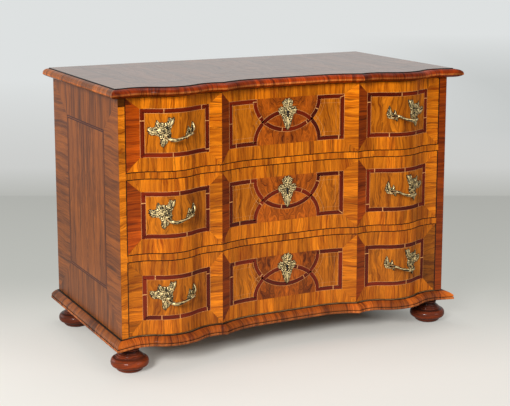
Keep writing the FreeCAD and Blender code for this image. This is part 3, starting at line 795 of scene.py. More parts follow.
def stile_veneers(veneer, sign):
    """Long pieces down a stile: the left one lighter, painted light, and the right one darker and redder,
    painted shade. The left one has a dark patch at its top, dark veneer with the top moulding's shadow
    painted into it.
    """
    left, right = sorted((sign * INNER, sign * HALF_CASE))
    pieces = veneer.cuts(STILE_LOW.z, STILE_HIGH.z, 60 * MM, 120 * MM)
    patch = STILE_HIGH.z - 25 * MM    # where the dark one begins, with the moulding's painted shadow in it
    # lighter field walnut on the left stile is painted light; darker end strip on the right one is painted
    # shade
    slot, tones = (END, (0.5, 0.64)) if sign > 0 else (FIELD, (1.25, 1.5))
    if sign < 0:
        places = [low for low, _ in pieces if low < patch - 20 * MM] + [patch, STILE_HIGH.z]
        pieces = zip(places, places[1:])
    for low, high in pieces:
        tone = veneer.random.uniform(*tones)
        veneer.quad(corners_of(left, right, low, high), slot, grain="along",
                    shade=0.25 if low == patch else tone, spread=0)


class CHEST_OT_case_veneers(bpy.types.Operator):
    """Lays the veneers of the rails, the stiles, the sides and the top"""
    bl_idname = "chest.case_veneers"
    bl_label = "Case veneers"

    def execute(self, context):
        front = Veneer(on_front, 31)
        for rail in ("rail_lower", "rail_upper"):
            rail_veneers(front, rail)
        for sign in SIDES.values():
            stile_veneers(front, sign)
        front.patches.build("rail_and_stile_veneers", front_woods(), "case", "walnut_front")
        for side, sign in SIDES.items():
            side_panel(side, sign)
        top_panel()
        return {"FINISHED"}


def side_panel(side, sign):
    """The outside of a side: a border, a thin dark band with a light line in it, and two matched leaves."""
    layout = chosen("chest_veneers")
    veneer = Veneer(on_side(sign), 41, flip=sign < 0)
    low, high = CASE_LOW.z, CASE_HIGH.z
    inner = (CORNER + layout.side_front, BACK - layout.side_back,
             low + layout.side_low, high - layout.side_high)
    veneer.border((float(front_y(HALF_CASE)), BACK, low, high), inner, (38 * MM, 75 * MM),
                  (90 * MM, 190 * MM), (0, 0, 0), spread=0.1)
    veneer.quad(corners_of(*inner), 1, centre=(inner[0] + inner[1]) / 2, shade=1.08, spread=0)
    path = corners_of(*inner, layout.side_band / 2)
    veneer.band(path, layout.side_band, 2)
    veneer.band(path, layout.side_band * 0.22, 3, layer=2)
    woods = [wood(name, *settings, gloss=0.2, haze=0.2) for name, *settings in (
        ("side_crossbanding", "side", 0.3, 0.7), ("side_field", "side", 0.8, 0.5),
        ("side_band", "side_band", 0.1), ("side_string", "side", 0.1))]
    veneer.patches.build(f"side_{side}_veneers", woods, "case", "walnut_case")


def top_panel():
    """The top under its thick polish: crossbanding that follows the front's line, a dark band, and matched
    leaves."""
    layout = chosen("chest_veneers")
    veneer = Veneer(on_top, 51)
    veneer.lift = 0.1 * MM
    out, margin = 12 * MM, layout.top_margin    # out to the moulding's black edge
    edge_x = HALF_CASE + out
    inner_x = edge_x - margin
    columns = np.linspace(-edge_x, edge_x, 281)
    front = front_y(np.clip(columns, -HALF_CASE, HALF_CASE)) - out
    inset_front = front_y(columns) + margin
    for left, right in veneer.cuts(-edge_x, edge_x, 45 * MM, 80 * MM):
        across = np.linspace(left, right, 16)
        inside = np.clip(across, -inner_x, inner_x)
        veneer.between(joined(across, np.interp(across, columns, front)),
                       joined(inside, np.interp(inside, columns, inset_front)), 0, rows=4)
        veneer.between(joined(inside, BACK - margin), joined(across, BACK), 0, rows=4)
    start = float(np.interp(inner_x, columns, inset_front))
    for sign in SIDES.values():
        cuts = veneer.cuts(start, BACK - margin, 50 * MM, 90 * MM)
        places = [low for low, _ in cuts] + [BACK - margin]
        ends = [float(front[0])] + places[1:-1] + [BACK]
        for outer, inside in zip(zip(ends, ends[1:]), zip(places, places[1:])):
            lines = [joined(sign * edge_x, outer), joined(sign * inner_x, inside)]
            left, right = lines[::-1] if sign > 0 else lines
            veneer.quad([left[0], right[0], right[1], left[1]], 0, grain="along", rows=4)
    inner = np.linspace(-inner_x, inner_x, 200)
    field_front = joined(inner, np.interp(inner, columns, inset_front))
    field_back = joined(inner, BACK - margin)
    veneer.between(field_front, field_back, 1, rows=20, centre=0.0, spread=0)
    veneer.band(np.concatenate([field_front, field_back[::-1]]), layout.side_band, 2)
    woods = [wood(name, *settings, gloss=0.85, haze=0.25) for name, *settings in (
        ("top_crossbanding", "top", 0.6, 0.7), ("top_field", "top", 1.1, 0.5), ("top_band", "top_band", 0.1))]
    veneer.patches.build("top_veneers", woods, "case", "walnut_case")


# --- the mouldings
PIECE_LENGTHS = (50 * MM, 110 * MM)    # of the short pieces that a moulding is made of
MOULDING_SPREAD = 0.36                 # how much their tones differ


def plan_line():
    """The line round the case in stretches: left side, front from corner to arris to corner, right side."""
    corner = float(front_y(HALF_CASE))
    stretches = [np.array([(-HALF_CASE, BACK), (-HALF_CASE, corner)])]
    places = (-HALF_CASE, -INNER, -arris_x(), arris_x(), INNER, HALF_CASE)
    for start, end in zip(places, places[1:]):
        x = np.linspace(start, end, max(3, int((end - start) / COLUMN)))
        stretches.append(joined(x, front_y(np.clip(x, start + 1e-7, end - 1e-7))))
    stretches.append(np.array([(HALF_CASE, corner), (HALF_CASE, BACK)]))
    return stretches


def mitred_normals(stretches):
    """The outward normals of each stretch: its tangents, turned to the right of its run. Where two stretches
    meet, both take the mitre: the sum of their normals, over one plus their dot."""
    normals = []
    for stretch in stretches:
        tangent = unit(np.gradient(stretch, axis=0))
        normals.append(joined(tangent[:, 1], -tangent[:, 0]))
    for before, after in zip(normals, normals[1:]):
        before[-1] = after[0] = (before[-1] + after[0]) / (1 + before[-1] @ after[0])
    return normals


def piece_ends(random, whole):
    """Where the short pieces along a stretch begin and end, with no cut in its last 20 mm."""
    places = spaced(random, 0, whole - 60 * MM, PIECE_LENGTHS)
    places = [place for place in places if place < whole - 20 * MM] + [whole]
    return zip(places, places[1:])


def moulded(name, profile, height, slots, seed):
    """Carries a closed profile of (out, up) points round the case in short cross-grained pieces, mitred at
    the corners and the arrises, as three lengths. slots has the first point, the last point and the material
    of each face of the profile."""
    random = np.random.default_rng(seed)
    stretches = plan_line()
    normals = mitred_normals(stretches)
    # the lip's wood paints a highlight along each lip; the black one colours the top moulding's top edge and
    # paints shade in the plinth's groove and along its joint with the case
    ends = [wood("ebonised_edge", "edge", gloss=0.05), wood("worn_lip", "lip", gloss=0.05)]
    front = wood(f"{name}_walnut", name, figure=0.35, gloss=0.1)
    # the side lengths take the sides' browner colours: the front's walnut recoloured as the light falls on
    # the sides, painted light
    plain = wood("side_moulding_walnut", "side", figure=0.35, gloss=0.17)
    profile = np.array(profile)
    girth = run_along(profile)
    last = len(stretches) - 1
    lengths = {"left": ([0], plain), "front": (range(1, last), front), "right": ([last], plain)}
    for side, (numbers, walnut) in lengths.items():
        patches = Patches()
        for line, normal in [(stretches[number], normals[number]) for number in numbers]:
            run = run_along(line)
            for start, end in piece_ends(random, run[-1]):
                spots = np.linspace(start, end, max(2, int((end - start) / (3 * MM))))
                base, way = at(spots, run, line), at(spots, run, normal)
                tone = 1 + random.uniform(-MOULDING_SPREAD, MOULDING_SPREAD)
                shift = random.uniform(*ANYWHERE, 2)
                for low, high, slot in slots:
                    out, up = profile[low:high + 1].T[..., None]
                    points = joined(base[0] + way[0] * out, base[1] + way[1] * out, height + up)
                    patches.add(points, joined(spots, girth[low:high + 1, None]) + shift, tone, slot)
        for end, number, flip in ((0, 0, False), (-1, last, True)):
            if number in numbers:
                out = stretches[number][end][0] + normals[number][end][0] * profile[:, 0]
                rim = joined(out, BACK, height + profile[:, 1])
                middle = np.broadcast_to(rim.mean(0), rim.shape)
                patches.add(np.stack([rim, middle]), rim[None, :, ::2].repeat(2, 0), 1.0, 0, flip)
        patches.build(f"{name}_{side}_veneered", [walnut, *ends], "case", "walnut_moulding", f"{name}_{side}")


def curve_between(points, count=8):
    """A smooth run through three points: a parabola of one parameter."""
    t = np.linspace(0, 1, count)[:, None]
    start, middle, end = (np.array(point, float) for point in points)
    pull = 2 * middle - (start + end) / 2
    return (1 - t) ** 2 * start + 2 * t * (1 - t) * pull + t ** 2 * end


class CHEST_OT_mouldings(bpy.types.Operator):
    """Runs the top and the plinth mouldings round the case"""
    bl_idname = "chest.mouldings"
    bl_label = "Mouldings"

    def execute(self, context):
        walnut, black, worn = range(3)
        thick = (TOP_HIGH.z - TOP_LOW.z) / MM
        cove = curve_between([(6, 0), (22.1, 3), (34, 10)])
        nose = curve_between([(34, 12.5), (28.3, 23), (12.4, thick - 2.2)], 12)
        profile = np.concatenate([[(0, 0)], cove, nose, [(12, thick - 2), (12, thick), (0, thick), (0, 0)]])
        lip = len(cove)
        edge = lip + 1 + len(nose)
        # the lip's strip carries a painted highlight; the black strip runs along the moulding's top edge
        faces = [(0, lip, walnut), (lip, lip + 2, worn), (lip + 2, edge - 2, walnut),
                 (edge - 2, edge + 3, black)]
        moulded("top_moulding", profile * MM, TOP_LOW.z, faces, 61)
        base = (BASE_HIGH.z - BASE_LOW.z) / MM - 0.4    # clears the drawer's sides, which slide over it
        slope = curve_between([(26, 13.5), (17, 21), (4, base)], 10)
        profile = np.concatenate([[(0, 0), (26.4, 0), (27, 0.6), (27, 6.4), (26.4, 7), (23, 7), (23, 8.5),
                                   (25.4, 8.5), (26, 9.2)], slope, [(0, base), (0, 0)]])
        top = len(profile) - 4
        # the plinth's lip carries a painted highlight; its black strips paint the shade in the groove above
        # the lip and the shadow line against the case
        moulded("plinth_moulding", profile * MM, BASE_LOW.z,
                [(0, 1, walnut), (1, 4, worn), (4, 7, black), (7, top, walnut), (top, top + 3, black)], 71)
        return {"FINISHED"}


# --- the feet
# each foot's tone: painted shade that keeps the front right foot, lit by the fill lamp, and the back feet
# darker than the front left
FOOT_PAINTED_SHADES = {("front", "left"): 1, ("front", "right"): 0.62, ("back", "left"): 0.5, ("back", "right"): 0.7}
FOOT_PAINTED_SHADE_BY_HEIGHT = {0: 0.7, 9: 1, 12: 0.2, 14: 0.7, 19: 1.1, 39: 1, 42: 0.3, 46: 0.7, 56: 0.5, 60: 0.15, 65: 0.6,
              70: 0.15, 76: 0.4}    # by the height in mm: painted shade, dark in the grooves and under the plinth


class CHEST_OT_feet(bpy.types.Operator):
    """Turns the four bun feet"""
    bl_idname = "chest.feet"
    bl_label = "Bun feet"

    def execute(self, context):
        materials = [wood("foot_walnut", "foot", figure=0.5, gloss=0.19, haze=0.15)]
        slope = curve_between([(42.7, 42.7), (37, 49), (28.6, 56.4)], 31)
        slope[:, 0] += 0.7 * np.cos(np.linspace(0, 3 * WHOLE_TURN, 31)) - 0.7    # three rings
        profile = MM * np.concatenate([
            [(0, 0)], curve_between([(31, 0), (38.5, 4.6), (41, 11)], 8), [(40.4, 12)],
            curve_between([(40.8, 13), (52, 16.6), (56, 26)], 14),
            curve_between([(56, 26), (53.6, 35.8), (46, 41.2)], 14)[1:], [(44, 41.6), (43.4, 42.2)], slope,
            curve_between([(26.6, 57), (25, 58), (25, 60)], 5),
            curve_between([(25.6, 60.2), (28.5, 65), (25.6, 70)], 9),
            curve_between([(25, 70.4), (26, 74), (28.5, 78)], 6), [(0, 78)]])
        radius, height = profile.T[..., None]
        tone = np.interp(height / MM, list(FOOT_PAINTED_SHADE_BY_HEIGHT), list(FOOT_PAINTED_SHADE_BY_HEIGHT.values()))
        turns = np.linspace(0, WHOLE_TURN, 97)
        ring = circle(radius, turns)
        run = run_along(profile)[:, None]
        for (end, side), shade in FOOT_PAINTED_SHADES.items():
            node = f"foot_{end}_{side}"
            low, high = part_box(node)
            centre = (low + high) / 2
            patches = Patches()
            patches.add(raised(ring + (centre.x, centre.y), height), joined(run, turns * 56 * MM) + centre.x,
                        tone * shade)
            patches.build(f"{node}_turned", materials, "case", "walnut_dark", node)
        return {"FINISHED"}


# --- the brasses
def smooth_path(points, count):
    """A smooth line through a few points: each stretch is a cubic whose slopes come from its neighbours."""
    points = np.array(points, float)
    padded = np.vstack([2 * points[0] - points[1], points, 2 * points[-1] - points[-2]])
    t = np.linspace(0, len(points) - 1, count)
    start = np.minimum(t.astype(int), len(points) - 2)
    u = (t - start)[:, None]
    a, b, c, d = (padded[start + step] for step in range(4))
    squared, cubed = 2 * a - 5 * b + 4 * c - d, 3 * b - a - 3 * c + d
    return 0.5 * (2 * b + (c - a) * u + squared * u ** 2 + cubed * u ** 3)


def leaf(spine, width, thick, ribs=2, blunt=0.6, rows=26, columns=20):
    """A cast leaf. spine is a list of (out, up, forward) in mm. Across it, its top is a dome with ribs and
    its underside is nearly flat. Along it, its width grows and falls as a power of a sine."""
    line = smooth_path(spine, rows)
    ahead = unit(np.gradient(line, axis=0))
    across = unit(joined(-ahead[:, 1], ahead[:, 0], 0.0))
    shape = np.sin(np.pi * np.linspace(0.12, 1, rows)[:, None]) ** blunt
    turn = np.linspace(0, WHOLE_TURN, columns)
    share = np.cos(turn)
    bulge = np.sqrt(np.clip(1 - share ** 2, 0, 1)) * (0.62 + 0.38 * np.cos(ribs * np.pi * share) ** 2)
    rise = np.where(np.sin(turn) > 0, bulge, -0.25 * bulge)
    points = line[:, None] + across[:, None] * (shape * width / 2 * share)[..., None]
    points[..., 2] += shape ** 0.5 * thick * rise
    return points, np.clip(1.5 * rise - 0.45, 0, 1) * (0.45 + 0.55 * shape)


def tube(spine, radii, rows=30, columns=14, twist=0.0, ribs=0):
    """A round bar along a smooth line. radii are in mm along it; ribs wind round it by twist turns."""
    line = smooth_path(spine, rows)
    ahead = unit(np.gradient(line, axis=0))
    first = unit(np.cross(ahead, (0.1, 1.0, 0.05)))
    second = np.cross(ahead, first)
    turn = np.linspace(0, WHOLE_TURN, columns * (1 + ribs))
    t = np.linspace(0, 1, rows)[:, None]
    wave = 1 + (0.12 * np.cos(ribs * turn + WHOLE_TURN * twist * t) if ribs else np.zeros((rows, columns)))
    ring = circle(np.interp(t, np.linspace(0, 1, len(radii)), radii) * wave, turn)
    points = line[:, None] + first[:, None] * ring[..., :1] + second[:, None] * ring[..., 1:]
    return points, np.clip((wave - 0.88) / 0.24, 0, 1) * 0.8


def dome(centre, radii, thick, lobes=0, swell=0.1, rings=0, rows=14, columns=61):
    """A low dome with a scalloped rim. Its height is the root of one minus the radius's squared share."""
    turn = np.linspace(0, WHOLE_TURN, columns)
    share = np.linspace(1, 0, rows)[:, None]
    flat = circle(share * (1 + swell * np.cos(lobes * turn)), turn) * radii + centre[:2]
    ridges = 0.16 * np.cos(lobes * turn) * share if lobes else np.zeros((rows, columns))
    rise = np.sqrt(np.clip(1 - share ** 2, 0, 1)) + ridges
    if rings:
        rise = rise + 0.14 * np.cos(rings * np.pi * share)
    rise[0] = -0.3
    points = raised(flat, centre[2] + thick * rise)
    return points, np.clip(0.35 + rise * 0.6 + 1.6 * ridges, 0, 1)


SHELL_RIM = [(49, 23), (47, 10), (38, 1), (24, 1), (16, -8), (15, -26), (8, -34), (1, -25), (-6, -13),
             (-16, -2), (-15, 17), (-19, 27), (-25, 43), (-26, 53), (-17, 51), (-9, 54), (-6, 43), (1, 38),
             (11, 39), (17, 39), (23, 46), (27, 37), (29, 27), (36, 24), (43, 26)]
LEAF_RIM = [(-1, 17), (-7, 36), (-12, 24), (-15, 11), (-12, -2), (-3, -5), (7, -5), (15, -14), (19, -3),
            (14, 8), (9, 24), (4, 14)]


def relief(outline, middle, crown, chased, ragged=0.07, rows=26, columns=421, inner=None):
    """A cast plate. Its rim is a smooth closed line made ragged by two small waves. From the rim to its
    middle, or to an inner line, its height rises by a crown, with a bead inside the rim, ribs that fan out
    and chased bumps, which are products of waves. The tone is high on the bumps and low between them, and
    falls to dark at the very rim, a painted contact shadow round the casting."""
    rim = smooth_path(np.vstack([outline, outline[:1]]), columns)
    t = np.linspace(0, WHOLE_TURN, columns)
    wave = np.cos(37 * t) + 0.7 * np.cos(61 * t + 1)
    rim = middle + (rim - middle) * (1 + 0.5 * ragged * (wave[:, None] - 1))
    core = np.broadcast_to(middle, rim.shape) if inner is None else inner
    share = np.concatenate([[1], np.linspace(1, 0, rows)])[:, None]
    flat = core + (rim - core) * share[..., None]
    out, up = np.moveaxis(flat, -1, 0)
    bumps = np.sin(0.85 * out + 0.4 * up + np.sin(0.4 * up))
    bumps = bumps * np.sin(0.8 * up - 0.35 * out + np.sin(0.3 * out))
    ribs = np.cos(18 * t) * np.clip(1.6 * share - 0.5, 0, 1)
    bead = np.exp(-((share - 0.9) / 0.06) ** 2)
    forward = (1.4 + crown * (1 - share ** 1.5) + 0.8 * bead
               + chased * (bumps + 0.6 * ribs) * np.clip(3 * (1 - share), 0, 1))
    forward[0] = 0.1
    tone = np.clip(0.42 + 0.75 * bumps + 0.25 * ribs + 0.2 * bead, 0, 1)
    # the tone falls to dark at the very rim: a painted contact shadow
    return raised(flat, forward), tone * np.clip(0.1 + 14 * (1 - share), 0, 1)


def shell_of_pull():
    """The large shell at a pull's outer post: a chased plate with leaves, a scroll and the post's boss."""
    return [
        relief(SHELL_RIM, (6.0, 12.0), 4.5, 1.3),
        leaf([(22, 10, 2.5), (34, 11, 4), (42, 15, 3.5), (47, 21, 2)], 8, 2.4),
        leaf([(14, 30, 3), (19, 36, 3.5), (23, 45, 2)], 6, 2, 1),
        leaf([(8, 30, 3), (9, 34, 3.5), (11, 39, 2)], 5, 2, 1),
        leaf([(-10, 26, 3), (-16, 36, 4.5), (-19, 44, 4), (-22, 51, 2)], 8, 2.6, blunt=0.4),
        leaf([(-6, 30, 3), (-10, 39, 4), (-11, 48, 2.5)], 5, 2.2, 1),
        leaf([(7, -6, 3), (6, -14, 4.5), (7, -24, 4), (8, -33, 2)], 7, 2.4, blunt=0.4),
        leaf([(-1, -8, 3), (-2, -16, 4), (2, -25, 2)], 5, 2, 1),
        tube([(13, 22, 7), (5, 26, 7.5), (-4, 21, 7.5), (-4, 11, 7.5), (5, 9, 7.5), (8, 16, 7)],
             (1.2, 2.0, 2.0, 1.8, 1.5, 1)),
        dome((20, 16, 4), (5, 6), 2.6, lobes=5, swell=0.12),
        dome((0, 0, 5), (6, 6), 4, rings=1),
    ]


def leaves_of_end():
    """The leaves at a pull's inner post, on a small chased plate."""
    return [
        relief(LEAF_RIM, (0.0, 3.0), 3.5, 0.6, columns=241, rows=16),
        leaf([(-6, 6, 5), (-9, 14, 7), (-9, 25, 6), (-7, 34, 2.5)], 7, 4, blunt=0.55),
        leaf([(2, 6, 5), (6, 14, 6), (8, 22, 3)], 6, 3.5, 1, blunt=0.45),
        leaf([(8, -2, 5), (12, -6, 5), (15, -13, 2.5)], 5, 3, 1),
        leaf([(10, 2, 4), (14, 4, 4), (18, -1, 2.5)], 5, 2.5, 1),
        dome((0, 0, 4), (6, 6), 5, lobes=5),
    ]


def bar_of_pull(span, reach):
    """The bar: out of the shell, forward, along and back into the end leaves, a leaf round each end."""
    back = reach * 0.45
    return [
        tube([(0, -1, 2), (-1, -4, back), (-7, -8, reach - 3), (-20, -10, reach), (-40, -6, reach),
              (-60, 1, reach - 1), (-span + 3, 6, reach - 6), (-span, 5, back), (-span, 2, 2)],
             (5.6, 5.6, 5.4, 4.8, 3.9, 3.2, 3.6, 4.2, 4.4), rows=60, ribs=3, twist=2.5),
        leaf([(4, -3, reach * 0.5), (-6, -7, reach + 2), (-18, -9, reach + 4), (-31, -8, reach + 2.5)], 9, 2),
        leaf([(-span - 2, 8, reach * 0.5), (-span + 8, 6, reach), (-span + 22, 1, reach + 2.5)], 8, 2),
    ]


def brass_piece(node, body, castings, place, middle, contrast, flip=False):
    """One casting of several forms. Each form's points are (out, up, forward) in mm; place turns them into
    points of the frame, and flip says that they come out mirrored. The tones lie round middle, with a
    contrast."""
    patches = Patches()
    for points, tone in castings:
        rows, columns = tone.shape
        uv = joined(np.linspace(0, 50 * MM, columns), np.linspace(0, 50 * MM, rows)[:, None])
        patches.add(place(points), uv, middle + (tone - 0.55) * contrast, 0, flip)
    patches.build(f"{node}_cast", [cast_brass()], body, "brass", node)


class CHEST_OT_pulls(bpy.types.Operator):
    """Casts the six pulls"""
    bl_idname = "chest.pulls"
    bl_label = "Pulls"

    def execute(self, context):
        outer, span, reach = 418, 78, 23    # the outer post's place, the posts' distance, the bar's reach
        straight_from, straight_over = 8, 12    # how far forward a casting leaves the front's curve
        clearance = 0.4 * MM
        for level in LEVELS:
            screws_low, screws_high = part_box(f"{level}_drawer_screws")
            height = (screws_low.z + screws_high.z) / 2
            for side, sign in SIDES.items():
                flat = float(front_y(sign * (outer - span / 2) * MM))

                def place(points):
                    out, up, forward = np.moveaxis(points, -1, 0)
                    x = sign * (outer + out) * MM
                    share = np.clip((forward - straight_from) / straight_over, 0, 1)
                    y = front_y(x) * (1 - share) + flat * share - forward * MM
                    return joined(x, np.maximum(y, CAD_BOX[0].y + clearance), height + up * MM)

                end = [(points - (span, 0, 0), tone) for points, tone in leaves_of_end()]
                # the pulls' tones lie round 0.47, below the key plates' 0.6: painted shade on the pulls,
                # which stand out on the bulges into the lamps' light
                brass_piece(f"{level}_drawer_pull_{side}", f"{level}_drawer",
                            shell_of_pull() + end + bar_of_pull(span, reach), place, 0.47, 0.75, sign > 0)
        return {"FINISHED"}


def key_outline(turn, radius, slot_half, slot_drop):
    """The keyhole's rim at an angle from its eye: the eye's circle, or the slot's walls and foot below it."""
    down = np.maximum(-np.sin(turn), 1e-6)
    aside = np.maximum(np.abs(np.cos(turn)), 1e-6)
    slot = np.minimum(slot_half / aside, slot_drop / down)
    return circle(np.where(np.sin(turn) < 0, np.maximum(slot, radius), radius), turn)


PLATE_RIM = [(0, 42), (9, 41), (15, 36), (20, 31), (16, 23), (17, 16), (25, 17), (33, 8), (30, -4), (22, -9),
             (19, -19), (15, -29), (11.5, -39), (8, -48), (4, -54), (0, -56)]
PLATE_LEAVES = [    # the root, the middle and the tip of each, then its width, its thickness and its ribs
    ((2, 26), (5, 33), (8, 39), 5, 2.4, 1), ((7, 22), (12, 26), (17, 30), 5, 2.4, 1),
    ((10, 12), (17, 13), (23, 17), 5, 2.4, 1), ((14, 5), (22, 5), (30, 8), 6, 2.6, 2),
    ((14, -3), (21, -2), (29, -4), 5, 2.4, 1), ((9, -12), (13, -16), (17, -19), 5, 2.4, 1),
    ((6, -18), (9, -25), (11, -31), 5, 2.4, 1), ((3, -24), (5, -34), (6, -42), 5, 2.4, 1)]
PLATE_SCROLL = [(4, 15, 3), (11, 13, 3.5), (14, 4, 3.5), (10, -6, 3.5), (13, -11, 3), (16, -8, 3)]


def key_plate_forms():
    """A key plate: a ground plate with the keyhole in it, leaves all round, scrolls and a tail."""
    half = np.array(PLATE_RIM, float)
    rim = np.vstack([half, half[-2:0:-1] * (-1, 1)])[::-1]
    line = smooth_path(np.vstack([rim, rim[:1]]), 421)
    turn = np.unwrap(np.arctan2(line[:, 1], line[:, 0]))
    forms = [relief(rim, (0.0, 0.0), 1.8, 1.7, ragged=0.1, inner=key_outline(turn, 5.4, 3.2, 15.0)),
             tube(raised(circle(8.2, np.linspace(-0.9, 4.0, 9)), 3.2), (0.9, 1.3, 0.9))]
    for sign in (-1, 1):
        for *places, width, thick, ribs in PLATE_LEAVES:
            out, up = np.transpose(places)
            forms.append(leaf(joined(sign * out, up, (2.5, 3.5, 2)), width, thick, ribs))
        forms.append(tube(np.array(PLATE_SCROLL) * (sign, 1, 1), (1.0, 1.7, 1.8, 1.7, 1.4, 0.8)))
    return forms + [leaf([(0, 18, 3), (0, 29, 4), (0, 41, 2)], 7, 3), dome((0, 22, 3), (4, 4), 2.6, lobes=6),
                    leaf([(0, -19, 3), (0, -32, 4), (0, -45, 3.5), (0, -55, 2)], 7, 3, 3, blunt=0.5)]


class CHEST_OT_key_plates(bpy.types.Operator):
    """Casts the three key plates and lays painted shade in the keyholes"""
    bl_idname = "chest.key_plates"
    bl_label = "Key plates"

    def execute(self, context):
        dark = keyhole_dark()
        turn, share = np.linspace(0, WHOLE_TURN, 73), np.linspace(1, 0, 3)[:, None, None]
        hole = key_outline(turn, 6.2, 4.0, 16.0) * share
        for level in LEVELS:
            node, body = f"{level}_drawer_key_plate", f"{level}_drawer"
            eye_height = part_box(node)[1].z - PLATE_RIM[0][1] * MM

            def place(points):
                out, up, forward = np.moveaxis(points, -1, 0) * MM
                return joined(out, front_y(out) - forward, eye_height + up)

            # the key plates' tones lie round 0.6 with a wide contrast: painted light on the plates in the
            # hollow
            brass_piece(node, body, key_plate_forms(), place, 0.6, 1.6)
            # a near-black sheet in each keyhole: painted shade
            patches = Patches()
            patches.add(place(raised(hole, 0.85)), hole * MM, 1.0, 0, True)
            patches.build(f"{level}_drawer_keyhole_dark", [dark], body, "iron")
        return {"FINISHED"}


# --- the carcase and the drawers' insides
class CHEST_OT_insides(bpy.types.Operator):
    """Finishes the pine of the carcase and the drawers, and the iron of the locks"""
    bl_idname = "chest.insides"
    bl_label = "Insides"

    def execute(self, context):
        pine = {axis: wood(f"pine_along_{axis}", "pine", 0.5, 0.45, gloss=0.0, wear=0.15, along=axis)
                for axis in "xyz"}
        # the walnut edges are near-black: painted shade where they show in the gaps between drawers, rails
        # and stiles
        walnut, iron = wood("walnut_edges", "walnut", gloss=0.05, along="z"), wrought_iron()
        for name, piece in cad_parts.items():
            if name.endswith(("_lock", "_bolt", "_screws")):
                material = iron
            elif name.startswith(("side_", "stile_", "rail_")) or name.endswith("_front"):
                material = walnut
            else:
                low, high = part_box(name)
                material = pine[max("xyz", key=lambda axis: getattr(high - low, axis))]
            for slot in piece.material_slots:
                slot.material = material
        return {"FINISHED"}


# --- the stage
def seen_itself(g):
    """1 for what the eye sees, straight or through gloss or glass, and 0 for light that falls on pieces."""
    ray = g.add("LightPath").node.outputs
    return g.maths("MAXIMUM", g.maths("MAXIMUM", ray["Is Camera Ray"], ray["Is Glossy Ray"]),
                   ray["Is Transmission Ray"])


def room_paint(stage):
    """Paper: pale under the chest, greyer towards the fold at the back, and pale again beyond it; the greys
    are a painted fall of the light, and a soft grey far back at the right is painted shade. To the eye it
    glows a little with its own colour, and beyond the fold wholly, so that the lamps stay at the chest's
    level. The
    ramps run over metres: back from the chest's middle, across, or out in both."""
    material, g, shader = new_material("room_paint")
    turned = g.add("Mapping", {"Vector": g.own_place(), "Rotation": (0, 0, stage.camera_yaw)})
    across = g.add("SeparateXYZ", {"Vector": turned})
    back = across.node.outputs["Y"]
    reach = g.maths("MAXIMUM", g.maths("ABSOLUTE", across), g.maths("ABSOLUTE", back))
    near = g.add("MapRange", {"Value": back, "From Min": -0.5, "From Max": 0.62},
                 interpolation_type="SMOOTHSTEP")
    floor = g.mix(g.ramp(back, 0.6, stage.fold), g.mix(near, stage.floor, stage.middle), stage.dusk)
    sheet = g.mix(g.ramp(reach, stage.fold, 1.4 * stage.fold), stage.dusk, stage.low_wall)
    sheet = g.mix(g.ramp(reach, 1.4 * stage.fold, 3.4 * stage.fold), sheet, stage.wall)
    # a painted soft shade on the paper, far back at the right
    cloud = g.maths("MULTIPLY", g.ramp(across, 0.7, 1.9), g.maths("MULTIPLY", g.ramp(back, 2.7, 3.9), 0.9))
    sheet = g.mix(g.maths("MULTIPLY", cloud, g.ramp(back, 10.8, 6.4)), sheet, stage.cloud)
    beyond = g.ramp(reach, stage.fold - 0.02, stage.fold + 0.06)
    body = g.mix(beyond, floor, sheet)
    seen = seen_itself(g)
    g.fill(shader.inputs, {"Base Color": g.vector("SCALE", body, g.ramp(seen, -0.7, 1)), "Roughness": 0.9,
                           "Specular IOR Level": 0.1})
    plain = g.add("SeparateXYZ", {"Vector": g.own_place()})
    clear = g.maths("MAXIMUM", g.maths("SUBTRACT", g.maths("ABSOLUTE", plain), HALF_CASE),
                    g.maths("SUBTRACT", g.maths("ABSOLUTE", plain.node.outputs["Y"]), BACK))
    glow = g.maths("ADD", 0.48, g.maths("MULTIPLY", near, 0.35))
    glow = g.maths("MULTIPLY", g.ramp(clear, -0.2, 0.08), glow)    # less of it where the chest stands
    share = g.maths("MULTIPLY", seen, g.maths("MAXIMUM", glow, beyond))
    both = g.add("MixShader", {0: share, 1: shader.outputs["BSDF"], 2: g.add("Emission", {"Color": body})})
    g.tree.links.new(both, g.tree.nodes["Material Output"].inputs["Surface"])
    return material


LAMPS = {    # each lamp's place and aim, its width and height, and its power
    "key_lamp": ((-4.31, -4.02, 2.9), (0, 0, 0.4), (1.8, 1.8), 372),
    "fill_lamp": ((3.4, -5.2, 2.2), (0, 0, 0.4), (3, 3), 82),
    "back_lamp": ((-4, 4.6, 2.2), (0, 0, 0.4), (3, 3), 70),
    "top_lamp": ((0.4, 0.9, 6.5), (0, 0, 0), (3, 3), 110),
}


def placed(name, data, location, rotation):
    """A new object in the scene."""
    thing = bpy.data.objects.new(name, data)
    thing.location, thing.rotation_euler = location, rotation
    bpy.context.scene.collection.objects.link(thing)
    return thing


def lamp(name, place, aim, size, power):
    """A square soft lamp that looks at a point."""
    light = bpy.data.lights.new(name, "AREA")
    light.shape, light.energy = "RECTANGLE", power
    light.size, light.size_y = size
    way = np.array(aim, float) - place
    placed(name, light, place,
           (math.atan2(math.hypot(way[0], way[1]), -way[2]), 0, math.atan2(way[1], way[0]) - QUARTER))


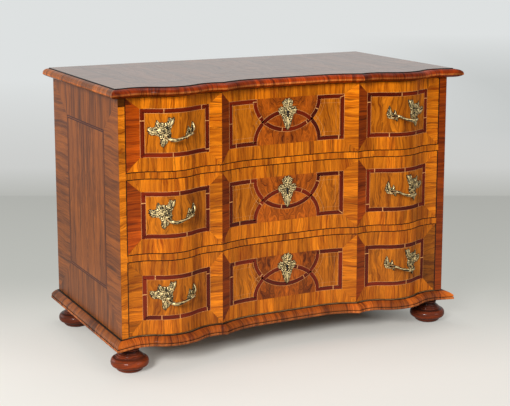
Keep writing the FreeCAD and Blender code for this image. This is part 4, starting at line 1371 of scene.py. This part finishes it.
class CHEST_OT_stage(bpy.types.Operator):
    """Sets the floor, the backdrop, the lamps and the camera"""
    bl_idname = "chest.stage"
    bl_label = "Stage"

    def execute(self, context):
        stage = chosen("chest_stage")
        turn, radius = np.linspace(0, WHOLE_TURN, 49), np.array([[0], [60]])    # a disc of 60 m
        index = np.arange(98).reshape(2, 49)
        faces = np.stack([index[0, :-1], index[1, :-1], index[1, 1:], index[0, 1:]], -1)
        mesh = bpy.data.meshes.new("room")
        disc = raised(circle(radius, turn), 0.0)
        mesh.from_pydata(disc.reshape(-1, 3).tolist(), [], faces.tolist())
        mesh.materials.append(room_paint(stage))
        placed("room", mesh, (0, 0, 0), (0, 0, 0))
        for name, settings in LAMPS.items():
            lamp(name, *settings)

        world = bpy.data.worlds.new("soft_room")
        world.use_nodes = True
        sky = Graph(world.node_tree)
        strength = sky.add("MapRange", {"Value": seen_itself(sky), "To Min": 0.16, "To Max": 1.0})
        sky.fill(world.node_tree.nodes["Background"].inputs, {"Color": stage.wall, "Strength": strength})
        context.scene.world = world
        context.scene.view_settings.view_transform = "Standard"

        camera = bpy.data.cameras.new("camera")
        camera.lens, camera.sensor_width, camera.shift_y = stage.camera_lens, 36, stage.camera_shift
        context.scene.camera = placed("camera", camera, (stage.camera_x, stage.camera_y, stage.camera_z),
                                      (QUARTER - stage.camera_pitch, 0, -stage.camera_yaw))
        return {"FINISHED"}


OPERATORS = (CHEST_OT_insides, CHEST_OT_drawer_veneers, CHEST_OT_case_veneers, CHEST_OT_mouldings,
             CHEST_OT_feet, CHEST_OT_pulls, CHEST_OT_key_plates, CHEST_OT_stage)


class CHEST_PT_panel(bpy.types.Panel):
    """Lists the chest's pieces in the sidebar"""
    bl_label = "Chest of drawers"
    bl_idname = "CHEST_PT_panel"
    bl_space_type = "VIEW_3D"
    bl_region_type = "UI"
    bl_category = "Chest"

    def draw(self, context):
        for operator in OPERATORS:
            self.layout.operator(operator.bl_idname)


CLASSES = (*GROUPS.values(), *OPERATORS, CHEST_PT_panel)


def register():
    for kind in CLASSES:
        bpy.utils.register_class(kind)
    for name, group in GROUPS.items():
        setattr(bpy.types.Scene, name, bpy.props.PointerProperty(type=group))


def unregister():
    for name in GROUPS:
        delattr(bpy.types.Scene, name)
    for kind in reversed(CLASSES):
        bpy.utils.unregister_class(kind)


def main():
    register()
    for build in (wood_group, wear_group, low_haze_group, patina_group):
        build()
    for operator in OPERATORS:
        family, action = operator.bl_idname.split(".")
        getattr(getattr(bpy.ops, family), action)()


if __name__ == "__main__":
    main()
